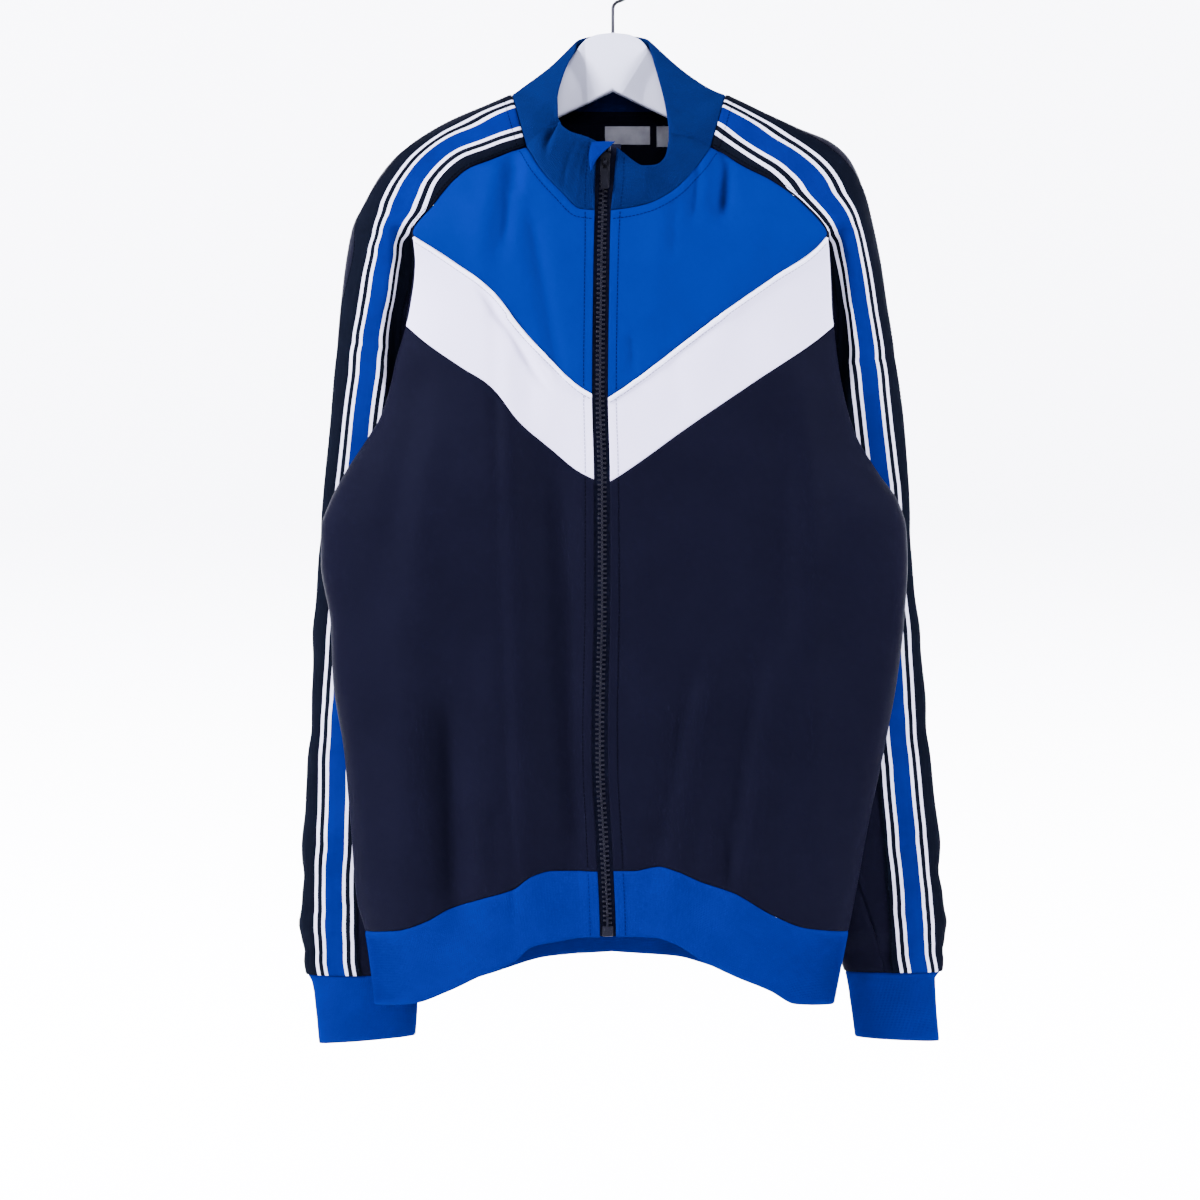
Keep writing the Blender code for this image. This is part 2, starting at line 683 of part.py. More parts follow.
def trim(grid, normal, top=True, foot=True, first=True, last=True):
    """Half the seam's gap taken off the sides that are sewn to a neighbour, and sunk in there."""
    grid = grid.copy()
    half = SEAM_GAP / 2
    if top:
        grid[0] += half * unit(grid[1] - grid[0])
    if foot:
        grid[-1] += half * unit(grid[-2] - grid[-1])
    if first:
        grid[:, 0] += half * unit(grid[:, 1] - grid[:, 0]) - SEAM_SINK * normal[:, 0]
    if last:
        grid[:, -1] += half * unit(grid[:, -2] - grid[:, -1]) - SEAM_SINK * normal[:, -1]
    return grid


def panel(name, grid, colour, normal, thick=KNIT, **sides):
    """A cloth panel: its trimmed outer grid, and the same moved in by the thickness."""
    outer = trim(grid, normal, **sides)
    return wall(name, outer, outer - thick * normal, colour)


BACKWARD = np.array([0, 1.0, 0])


# ---------------------------------------------------------------- fronts

FRONT_STEPS = 12
ACROSS = np.linspace(0, 1, FRONT_STEPS + 1)


def coons(top, foot, first, last, down, along):
    """A patch inside four edges, each given by its points."""
    u, w = along[None, :, None], down[:, None, None]
    ruled = (1 - w) * top[None] + w * foot[None] + (1 - u) * first[:, None] + u * last[:, None]
    corners = (1 - w) * ((1 - u) * top[0] + u * top[-1]) + w * ((1 - u) * foot[0] + u * foot[-1])
    return ruled - corners


def front_line(side, line):
    """A sewn line's points across the front, zip to raglan seam."""
    z = crossing(side, line, ACROSS)
    return front_point(side, front_turn(side, ACROSS, z), z)


def seam_points(side, first_row, last_row):
    """The raglan seam's points at the sleeve's rows."""
    stations = sleeve_rows(side)[0][first_row:last_row + 1]
    points = [sleeve_point(row, np.array([row[3]]))[0] for row in (sleeve_row(side, s) for s in stations)]
    return np.array(points) * np.array([SIDES[side], 1, 1])


def front_normals(side, grid):
    """Outward normals: the grid's own slope along its rows, and the shared surface's down them."""
    x, z = grid[..., 0], grid[..., 2]
    turn = np.arcsin(np.clip((x - zip_x(z)) / (edge_x(side, z) - zip_x(z)), 0, 1))
    past = np.maximum.accumulate(np.abs(x), axis=1) > np.abs(x) + 1e-6
    turn = np.where(past, math.pi - turn, turn)
    down = front_point(side, turn, z - 2) - front_point(side, turn, z + 2)
    return unit(np.cross(down, tangent(grid, 1))) * SIDES[side]


def yoke(side):
    """The upper front, from the neckline down to the chevron."""
    rows = YOKE_ROWS + 1
    foot = front_line(side, CHEVRON_TOP[side])[:, [0, 2]]
    last = seam_points(side, 0, YOKE_ROWS)[:, [0, 2]]
    neck = NECKLINE[side]
    start_x = SIDES[side] * (zip_x(-213) + SIDES[side] * ZIP_OPENING)
    neck_x = start_x + (neck["x"][-1] - start_x) * ACROSS
    top = np.stack([SIDES[side] * neck_x, read(neck, "z", neck_x, key="x")], axis=-1)
    down = np.linspace(0, 1, rows)
    first_z = top[0, 1] + (foot[0, 1] - top[0, 1]) * down
    first = np.stack([zip_x(first_z) + SIDES[side] * ZIP_OPENING, first_z], axis=-1)
    plane = coons(top, foot, first, last, down, ACROSS)
    y = front_y(side, plane[..., 0], plane[..., 1])
    return np.stack([plane[..., 0], y, plane[..., 1]], axis=-1)


def chevron(side):
    """The white band that slants from the armhole down to the zip."""
    rows = CHEVRON_ROWS - YOKE_ROWS + 1
    top, foot = front_line(side, CHEVRON_TOP[side]), front_line(side, CHEVRON_FOOT[side])
    seam_z = seam_points(side, YOKE_ROWS, CHEVRON_ROWS)[:, 2]
    down = (seam_z - seam_z[0]) / (seam_z[-1] - seam_z[0])
    z = top[:, 2] + (foot[:, 2] - top[:, 2]) * down[:, None]
    return front_point(side, front_turn(side, ACROSS[None], z), z)


def lower_front(side):
    """The navy front, round the side fold to the hidden armhole and side seam behind."""
    seam_z = seam_points(side, CHEVRON_ROWS, ARMHOLE_ROWS)[:, 2]
    foot = hem_z(side, HEM_SEAM, ACROSS)
    seam_z = np.concatenate([seam_z, side_heights(side, foot[-1])[1:]])
    down = (seam_z - seam_z[0]) / (seam_z[-1] - seam_z[0])
    top = crossing(side, CHEVRON_FOOT[side], ACROSS)
    z = top + (foot - top) * down[:, None]
    return front_point(side, front_turn(side, ACROSS[None], z), z)


SIDE_ROWS = 9


def side_heights(side, foot):
    """Heights of the side seam's rows, underarm to hem."""
    return np.linspace(UNDERARM, foot, SIDE_ROWS + 1)


# ---------------------------------------------------------------- back, hem band, collar

BACK_COLUMNS = 12


def back_edges():
    """Both edges of the back, neck to hem: the back raglan seams, then the side seams."""
    edges = []
    for side in SIDES:
        rows = [sleeve_row(side, s) for s in sleeve_rows(side)[0]]
        upper = np.array([sleeve_point(row, np.array([-row[4]]))[0] for row in rows])
        upper *= np.array([SIDES[side], 1, 1])
        foot = hem_z(side, HEM_SEAM, ACROSS)[-1]
        z = side_heights(side, foot)[1:]
        lower = front_point(side, front_turn(side, 1.0, z), z)
        edges.append(np.concatenate([upper, lower]))
    return edges


def back_rows(first, last, foot_line=None):
    """Rows across the back between two edges, crowned at the middle, with its folds."""
    across = np.linspace(-1, 1, BACK_COLUMNS + 1)
    share = (across[:, None] + 1) / 2
    grid = first[:, None] * (1 - share) + last[:, None] * share
    x, z = grid[..., 0], grid[..., 2]
    if foot_line is not None:
        drop = np.clip((UNDERARM - z) / (UNDERARM - z[-1]), 0, 1) ** 2
        hang = read(foot_line, "z", np.abs(x[-1]), key="x") - z[-1]
        z += drop * hang
    crown = 1 - np.abs(across) ** BACK_CROWN
    grid[..., 1] += (read(BACK_MIDDLE, "y", z) - grid[..., 1]) * crown
    grid[..., 1] += folds(BACK_FOLDS, x, z) * crown
    return grid


def back():
    right, left = back_edges()
    return back_rows(right, left, HEM_SEAM["back"])


HEM_ROWS = 4


def hem_band():
    """The rib band's grid, from the right front edge round the back to the left front edge."""
    parts = []
    for side in SIDES:
        top, foot = hem_z(side, HEM_SEAM, ACROSS), hem_z(side, HEM_FOOT, ACROSS)
        z = top + (foot - top) * np.linspace(0, 1, HEM_ROWS)[:, None]
        parts.append(front_point(side, front_turn(side, ACROSS[None], z), z))
    right, left = parts
    top_line = back()[-1]
    middle = np.array([top_line] * HEM_ROWS)
    foot_z = read(HEM_FOOT["back"], "z", np.abs(top_line[:, 0]), key="x")
    share = np.linspace(0, 1, HEM_ROWS)[:, None]
    middle[..., 2] = top_line[:, 2] + (foot_z - top_line[:, 2]) * share
    across = np.linspace(0, 1, BACK_COLUMNS + 1)[:, None]
    ends = right[:, -1][:, None] * (1 - across) + left[:, -1][:, None] * across
    middle[..., 0] += ends[..., 0] - (ends[0, :, 0])
    return np.concatenate([right, middle[:, 1:-1], left[:, ::-1]], axis=1)


def neck_ring():
    """The neck seam's points from the right front edge round to the left, with their steps."""
    points, steps = [], []
    for side in SIDES:
        row = sleeve_row(side, station=0)
        turns = sleeve_turns(row)
        over = np.where(turns > 0, 2 - turns / row[3], 2 - turns / row[4])
        points.append(np.concatenate([yoke(side)[0][:-1], sleeve(side)[0][0]]))
        steps.append(np.concatenate([ACROSS[:-1], over]))
    behind = back()[0]
    middle = 3 + 2 * np.linspace(0, 1, BACK_COLUMNS + 1)
    ring = np.concatenate([points[0][:-1], behind, points[1][:-1][::-1]])
    return ring, np.concatenate([steps[0][:-1], middle, 8 - steps[1][:-1][::-1]])


COLLAR_ROWS = 5


def collar():
    """The stand collar, ruled from the neck seam up to its rim, with a little fullness."""
    ring, steps = neck_ring()
    rim = np.stack([read(RIM, axis, steps, key="step") for axis in "xyz"], axis=-1)
    rise = np.linspace(0, 1, COLLAR_ROWS)[:, None, None]
    grid = ring * (1 - rise) + rim * rise
    centre = np.array([0, -6.0, -120])
    outward = unit((grid - centre) * np.array([1, 1, 0.2]))
    return grid + COLLAR_BULGE * np.sin(math.pi * rise) * outward


# ---------------------------------------------------------------- small pieces


def strip(name, x_of, y_of, heights, colour, thick, y_step=0.0):
    """A flat strip down the front: x_of gives its two edges and y_of its outer face by height."""
    edges = np.array([x_of(z) for z in heights])
    grid = np.stack([edges, np.repeat([[y_of(z)] for z in heights], 2, axis=1) + y_step,
                     np.repeat(heights[:, None], 2, axis=1)], axis=-1)
    return wall(name, grid, grid + np.array([0, thick, 0]), colour)


def zip_parts():
    """Two tapes, the closed chain between the top stop and the box, and the box."""
    heights = np.concatenate([[ZIP_TOP], np.linspace(SLIDER_FOOT - SEAM_GAP, ZIP_FOOT + 9, 18), [ZIP_FOOT]])
    tape_y = lambda z: float(read(ZIP, "y", z))
    for side, sign in SIDES.items():
        inner, outer = sign * SEAM_GAP / 2, sign * ZIP_TAPE_REACH
        strip(f"zip_tape_{side}", lambda z: (zip_x(z) + inner, zip_x(z) + outer), tape_y, heights,
              "black", TRIM)
    half = CHAIN_WIDTH / 2
    strip("zip_chain", lambda z: (zip_x(z) - half, zip_x(z) + half), tape_y, heights[1:-1], "black",
          CHAIN_THICK, y_step=-CHAIN_THICK - LAID_GAP)
    box = np.array([ZIP_FOOT + 9 - SEAM_GAP, ZIP_FOOT])
    strip("zip_box", lambda z: (zip_x(z) - half - 1, zip_x(z) + half + 1), tape_y, box, "black",
          CHAIN_THICK + 0.8, y_step=-CHAIN_THICK - 0.8 - LAID_GAP)
    stop = np.array([ZIP_TOP - 1, SLIDER_TOP + SEAM_GAP])
    strip("zip_top_stop", lambda z: (zip_x(z) - half, zip_x(z) + half), tape_y, stop, "black_metal",
          CHAIN_THICK, y_step=-CHAIN_THICK - LAID_GAP)


def loft(name, rings, colour):
    """A solid through closed rings of points, with flat ends."""
    count = len(rings[0])
    points = [p for ring in rings for p in ring]
    faces = [list(range(count)), list(range(len(points) - 1, len(points) - count - 1, -1))]
    for k in range(0, len(points) - count, count):
        faces += [[k + i, k + count + i, k + count + (i + 1) % count, k + (i + 1) % count]
                  for i in range(count)]
    return add_mesh(name, points, faces, colour)


def slider_face():
    """The y of the slider's front face."""
    return float(read(ZIP, "y", HINGE_Z)) - LAID_GAP - SLIDER_THICK


def hinge():
    """The pull's axis, inside the slider's bridge."""
    return np.array([float(zip_x(HINGE_Z)), slider_face() - HINGE_RISE, HINGE_Z])


def slider():
    """The slider's body, waisted, with a bridge on its face whose hole takes the pull's bar."""
    centre, face = hinge(), slider_face()
    shape = table("z half", (SLIDER_TOP, 4.5), (-170, 4.3), (-174, 3.7), (-178, 3.5), (SLIDER_FOOT, 3.6))
    z = np.linspace(SLIDER_TOP, SLIDER_FOOT, 8)
    half = read(shape, "half", z) * SLIDER_WIDTH / 9.0
    rim = 0.7
    rings = []
    for y, inset in ((face, rim), (face + rim, 0), (face + SLIDER_THICK, 0)):
        zz = centre[2] + (z - centre[2]) * (1 - inset / 8)
        left = np.stack([centre[0] - half + inset, np.full(8, y), zz], axis=-1)
        right = np.stack([centre[0] + half - inset, np.full(8, y), zz], axis=-1)
        rings.append(np.concatenate([left, right[::-1]]))
    body = loft("slider", rings, "black_metal")
    turns = np.linspace(0, math.pi, 9)
    sides = []
    for radius in (BRIDGE_OUT, BRIDGE_HOLE):
        root = [face + BRIDGE_ROOT]
        y = np.concatenate([root, centre[1] - radius * np.sin(turns), root])
        z = centre[2] + radius * np.concatenate([[1], np.cos(turns), [-1]])
        ends = [np.stack([np.full(len(y), centre[0] + x), y, z], axis=-1)
                for x in (-BRIDGE_WIDTH / 2, BRIDGE_WIDTH / 2)]
        sides.append(np.stack(ends, axis=1))
    bridge = wall("slider_bridge", *sides, "black_metal")
    join = body.modifiers.new("bridge", "BOOLEAN")
    join.operation = "UNION"
    join.solver = "EXACT"
    join.object = bridge
    bridge.hide_render = True
    bridge.display_type = "WIRE"


def pull():
    """The pull: a bar through the bridge, two arms beside it and a tapered tab below."""
    axis = hinge()
    bar, eye, wide = PULL_BAR / 2, PULL_EYE / 2, PULL_WIDTH / 2
    eye_foot, shoulder = -5.2, -7.5
    outline = [(-wide + 0.6, bar), (wide - 0.6, bar), (wide, bar - 0.6), (wide, shoulder),
               (wide - 0.3, -PULL_LENGTH + 1.6), (wide - 1.6, -PULL_LENGTH), (-wide + 1.6, -PULL_LENGTH),
               (-wide + 0.3, -PULL_LENGTH + 1.6), (-wide, shoulder), (-wide, bar - 0.6)]
    half = PULL_THICK / 2
    body = loft("pull", [[(x, y, z) for x, z in outline] for y in (-half, half)], "black_metal")
    gap = [(-eye, -bar), (eye, -bar), (eye, eye_foot), (-eye, eye_foot)]
    cutter = loft("pull_eye", [[(x, y, z) for x, z in gap] for y in (-2 * half, 2 * half)], "black_metal")
    cutter.hide_render = True
    cutter.display_type = "WIRE"
    for thing in (body, cutter):
        thing.location = axis * MM
    cut = body.modifiers.new("eye", "BOOLEAN")
    cut.operation = "DIFFERENCE"
    cut.solver = "EXACT"
    cut.object = cutter


def zip_garage():
    """The corner of cloth that folds over the top of the zip."""
    rows = ZIP_GARAGE
    share = np.linspace(0, 1, 5)
    x = rows["outer_x"][:, None] * (1 - share) + rows["inner_x"][:, None] * share
    y = rows["y_outer"][:, None] * (1 - share) + rows["y_inner"][:, None] * share
    y = y - 0.8 * np.sin(math.pi * share)
    grid = np.stack([x, y, np.repeat(rows["z"][:, None], 5, axis=1)], axis=-1)
    wall("zip_garage", grid, grid + np.array([0, KNIT, 0]), "rib_blue")


def piping(side):
    """A rounded white edge that lies along the chevron's upper seam."""
    grid = chevron(side)
    normal = front_normals(side, grid)
    top, below = grid[0] + SEAM_GAP / 2 * unit(grid[1] - grid[0]), grid[1]
    drop = unit(below - top)
    share = np.array([0.06, 0.28, 0.5, 0.72, 0.94])
    rise = PIPING_THICK * np.sqrt(np.maximum(1 - (2 * share - 1) ** 2, 0.12))
    base = top[None] + drop[None] * (PIPING_WIDTH * share[:, None, None]) + LAID_GAP * normal[0]
    base[:, -1] += 2 * SEAM_GAP * unit(base[:, -2] - base[:, -1])
    wall(f"piping_{side}", base + normal[0] * rise[:, None, None], base, "white")


def inside_back(name, x0, x1, top, foot, columns, colour):
    """A flat piece on the inner face of the back, near the neck."""
    grid = back()
    inner = grid - KNIT * normals(grid, BACKWARD)
    x = np.linspace(x0, x1, columns + 1)
    z = np.linspace(top, foot, 3)
    y = np.empty((3, columns + 1))
    for i, height in enumerate(z):
        at, line = (np.array([np.interp(-height, -column[:, 2], column[:, k])
                              for column in inner.transpose(1, 0, 2)]) for k in (0, 1))
        y[i] = np.interp(x, at, line)
    face = np.stack(np.broadcast_arrays(x[None], y - NECK_LAY, z[:, None]), axis=-1)
    wall(name, face - np.array([0, TRIM, 0]), face, colour)


def cuff(side):
    """The rib cuff: a closed tube from the sleeve's foot."""
    sleeve_foot = sleeve(side)[0][-1]
    row = sleeve_row(side, height=ARM[side]["z"][-1])
    turns = sleeve_turns(row)
    rows = []
    for k in range(len(CUFF[side]["drop"])):
        outer, inner, y, half = (CUFF[side][n][k] for n in ("outer", "inner", "y", "half"))
        reach = np.array([(inner - outer) / 2, 0, 0])
        z = ARM[side]["z"][-1] - SEAM_GAP - CUFF[side]["drop"][k]
        section = (np.array([outer, y, z]), reach, reach, row[3], row[4], half, half)
        rows.append(sleeve_point(section, turns))
    grid = np.array(rows)
    centre = grid[..., 0].mean(axis=1, keepdims=True)
    share = (CUFF[side]["drop"] / CUFF[side]["drop"][-1])[:, None]
    grid[..., 2] += CUFF_TILT[side] * share * (grid[..., 0] - centre)
    grid *= np.array([SIDES[side], 1, 1])
    normal = normals(grid, outward=grid - grid.mean(axis=1, keepdims=True))
    normal[:, 0] = normal[:, -1] = unit(normal[:, 0] + normal[:, -1])
    normal = unit(normal * [1, 1, 0])
    wall(f"cuff_{side}", grid, grid - RIB * normal, "rib_blue", welded_from=0)


def hanger():
    """The plastic hanger: bevelled sections from tip to tip, its head faceted in front."""
    names = ("x", "top", "foot", "half_y")
    rows = [tuple(HANGER[n][k] for n in names) for k in range(len(HANGER["x"]))]
    sections = [(-x, top, foot, half) for x, top, foot, half in rows[:0:-1]] + rows
    points = []
    for x, top, foot, half in sections:
        middle = (top + foot) / 2
        bevel = min(HANGER_BEVEL, (top - foot) / 3)
        front = []
        for z in (top - bevel, middle, foot + 0.6):
            lean = FACET_SLOPE * max(0.0, abs(x) - float(read(FACET_EDGE, "x", z)))
            front.append((x, -half + min(lean, half * 0.45), z))
        points.append([(x, -half + 3, top), *front, (x, -half + 3, foot), (x, half - 1, foot),
                       (x, half, foot + 0.6), (x, half, middle), (x, half, top - bevel),
                       (x, half - 3, top)])
    loft("hanger", points, "plastic")


def hook():
    """The steel hook: a stem out of the head, then an arch open at the wearer's right."""
    top = HOOK_ROD / 2
    centre_z = top - HOOK_RADIUS
    stem = [(0, HANGER_TOP + SEAM_GAP), *HOOK_BEND]
    turns = np.radians(np.linspace(-52, 190, 20))
    arch = [(HOOK_RADIUS * math.cos(t), centre_z + HOOK_RADIUS * math.sin(t)) for t in turns]
    tip = (arch[-1][0] - 1, arch[-1][1] - 5)
    curve = bpy.data.curves.new("hook", "CURVE")
    curve.dimensions = "3D"
    line = curve.splines.new("POLY")
    route = stem + arch + [tip]
    line.points.add(len(route) - 1)
    for point, (x, z) in zip(line.points, route):
        point.co = (x * MM, 0, z * MM, 1)
    curve.bevel_depth = HOOK_ROD / 2 * MM
    curve.bevel_resolution = 2
    curve.use_fill_caps = True
    body = bpy.data.objects.new("hook", curve)
    bpy.context.collection.objects.link(body)
    curve.materials.append(finish("hook", "steel"))


def build():
    for thing in list(bpy.data.objects):
        bpy.data.objects.remove(thing, do_unlink=True)
    for side in SIDES:
        for name, shape, colour in (("yoke", yoke, "royal"), ("chevron", chevron, "white"),
                                    ("front", lower_front, "navy")):
            grid = shape(side)
            panel(f"{name}_{side}", grid, colour, front_normals(side, grid), first=False)
        grid, normal = sleeve(side)
        normal[ARMHOLE_ROWS:, 0] = unit(normal[ARMHOLE_ROWS:, 0] + normal[ARMHOLE_ROWS:, -1])
        normal[ARMHOLE_ROWS:, -1] = normal[ARMHOLE_ROWS:, 0]
        outer = trim(grid[:ARMHOLE_ROWS], normal[:ARMHOLE_ROWS], top=False, foot=False)
        outer = np.concatenate([outer, grid[ARMHOLE_ROWS:]])
        outer[ARMHOLE_ROWS, 0] -= 2 * SEAM_SINK * normal[ARMHOLE_ROWS, 0]
        wall(f"sleeve_{side}", outer, outer - KNIT * normal, "navy", welded_from=ARMHOLE_ROWS)
        lay = grid[:, TAPE_COLUMNS] + LAID_GAP * normal[:, TAPE_COLUMNS]
        lay[-1] += SEAM_GAP * unit(lay[-2] - lay[-1])
        wall(f"tape_{side}", lay + TRIM * normal[:, TAPE_COLUMNS], lay, "stripe")
        piping(side)
        cuff(side)
    grid = back()
    panel("back", grid, "navy", normals(grid, BACKWARD))
    grid = hem_band()
    normal = normals(grid, grid * [0, 1, 0] + [0, 14, 0])
    panel("hem_band", grid, "rib_blue", normal, thick=RIB, foot=False, first=False, last=False)
    grid = collar()
    normal = normals(grid, grid + [0, 6, 120])
    panel("collar", grid, "rib_blue", normal, thick=RIB, foot=False, first=False, last=False)
    inside_back("neck_tape", -66, 66, *NECK_TAPE, 12, "navy")
    for name, (x0, x1, top, foot) in LABELS.items():
        inside_back(name, x0, x1, top, foot, 4, "label")
    zip_parts()
    zip_garage()
    slider()
    pull()
    hanger()
    hook()


build()
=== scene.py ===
# %% [markdown]
# # A track jacket on its hanger
# This lesson dresses a packed model of a full-zip track jacket. The model gives every piece its
# place and its sizes; here each cloth piece is made again as a fine surface, with its folds,
# seams, ribs and stitches, and each surface gets a finish made of nodes. Nothing is moved: the
# new pieces lie where the packed ones are. Tables are in millimetres and meshes in metres.

import math

import bpy
import numpy as np
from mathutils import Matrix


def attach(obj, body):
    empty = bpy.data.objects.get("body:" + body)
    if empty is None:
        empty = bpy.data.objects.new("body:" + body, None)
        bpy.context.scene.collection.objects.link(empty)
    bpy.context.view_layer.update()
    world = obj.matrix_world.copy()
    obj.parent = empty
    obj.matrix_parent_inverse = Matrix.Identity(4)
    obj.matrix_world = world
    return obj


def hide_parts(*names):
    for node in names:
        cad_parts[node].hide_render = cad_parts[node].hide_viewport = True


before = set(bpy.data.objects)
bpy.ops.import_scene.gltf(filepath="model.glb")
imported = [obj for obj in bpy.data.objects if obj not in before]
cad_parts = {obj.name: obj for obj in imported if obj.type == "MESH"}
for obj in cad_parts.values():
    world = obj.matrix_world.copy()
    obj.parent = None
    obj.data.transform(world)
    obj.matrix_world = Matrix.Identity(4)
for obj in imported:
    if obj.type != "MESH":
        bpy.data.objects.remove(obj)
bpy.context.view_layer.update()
MM = 0.001
SIDES = {"right": -1.0, "left": 1.0}

# %% [markdown]
# The camera stands level in front of the jacket, 2.4 m away, a little below its middle. A long
# lens keeps the sleeves from looking wider than the body. The stage is one pale sheet: a floor
# that curves up into a wall, so that no line shows behind the cloth.

# %% Camera and stage
CAMERA_PLACE = (-0.0104, -2.4, -0.5228)
CAMERA_LENS = 88.9
SENSOR = 36.0
STAGE_WIDTH = 9.0
FLOOR_Z, FLOOR_FRONT = -1.32, -5.0
WALL_Y, WALL_TOP = 1.5, 3.0
SWEEP_RADIUS = 0.9
SWEEP_STEPS = 24
lens = bpy.data.cameras.new("camera")
lens.lens, lens.sensor_width = CAMERA_LENS, SENSOR
camera = bpy.data.objects.new("camera", lens)
camera.location = CAMERA_PLACE
camera.rotation_euler = (math.pi / 2, 0, 0)  # level, looking along +Y
bpy.context.scene.collection.objects.link(camera)
bpy.context.scene.camera = camera

# the stage's profile is a floor, a quarter circle and a wall, drawn out along X
turn = np.linspace(0, math.pi / 2, SWEEP_STEPS)
y = np.concatenate([[FLOOR_FRONT], WALL_Y - SWEEP_RADIUS + SWEEP_RADIUS * np.sin(turn), [WALL_Y]])
z = np.concatenate([[FLOOR_Z], FLOOR_Z + SWEEP_RADIUS - SWEEP_RADIUS * np.cos(turn), [WALL_TOP]])
x = np.array([-STAGE_WIDTH / 2, STAGE_WIDTH / 2])
points = np.stack(np.broadcast_arrays(x[None], y[:, None], z[:, None]), axis=-1).reshape(-1, 3)
first = 2 * np.arange(len(y) - 1)
mesh = bpy.data.meshes.new("stage")
mesh.from_pydata(points.tolist(), [], np.stack([first, first + 1, first + 3, first + 2], axis=-1).tolist())
mesh.shade_smooth()
stage = bpy.data.objects.new("stage", mesh)
bpy.context.scene.collection.objects.link(stage)
print("camera", CAMERA_PLACE, "lens", CAMERA_LENS)

# %% [markdown]
# The light is a studio's: a strong soft box far round to the left, which draws the folds by their
# flanks, a weaker one opposite, a faint one in front and a pale room all round, so that dark cloth
# keeps its form and white cloth isn't burnt out. The stage behind has a narrow light of its own,
# which makes it close to white and misses the jacket.

# %% Light
ROOM_LIGHT, ROOM_COLOUR = 0.2, (0.93, 0.95, 1.0, 1)
JACKET, SWEEP = (0.0, 0.0, -0.45), (0.0, 1.35, -0.6)
COOL, NEUTRAL = (0.80, 0.79, 1.0), (1.0, 1.0, 1.0)
SOFT_BOXES = {  # place, what it lights, width and height, spread in degrees, power, colour
    "key": ((-2.2, -1.05, 0.75), JACKET, (0.8, 0.8), 180, 425, COOL),
    "fill": ((2.4, -0.8, 0.6), JACKET, (0.8, 0.8), 180, 290, COOL),
    "front": ((0.0, -3.4, 0.3), JACKET, (1.2, 1.2), 180, 62, COOL),
    "stage_light": ((0.0, 0.9, 2.2), SWEEP, (4.0, 0.8), 46, 340, NEUTRAL),
}


def add_soft_box(name, place, target, size, spread, power, colour):
    """An area lamp that faces its target."""
    lamp = bpy.data.lights.new(name, "AREA")
    lamp.shape = "RECTANGLE"
    lamp.size, lamp.size_y = size
    lamp.spread = math.radians(spread)
    lamp.energy = power
    lamp.color = colour
    body = bpy.data.objects.new(name, lamp)
    body.location = place
    away = np.array(place) - target
    flat = math.hypot(away[0], away[1])
    body.rotation_euler = (math.atan2(flat, away[2]), 0, math.atan2(away[1], away[0]) + math.pi / 2)
    bpy.context.scene.collection.objects.link(body)


for name, settings in SOFT_BOXES.items():
    add_soft_box(name, *settings)
room = bpy.data.worlds.new("room")
room.use_nodes = True
sky = room.node_tree.nodes["Background"].inputs
sky["Color"].default_value, sky["Strength"].default_value = ROOM_COLOUR, ROOM_LIGHT
bpy.context.scene.world = room
print("lamps:", ", ".join(SOFT_BOXES))

# %% [markdown]
# A finish is a small tree of nodes round one Principled shader. Values that are the same all over
# go straight on the shader's sockets. Colour, roughness and relief that vary come from noise and
# waves, read from object coordinates or from the piece's own cloth coordinates, which are metres
# across and along the cloth.

# %% Helpers for finishes
LOW, HIGH = 0.3, 0.7  # between them lies nearly all of a noise


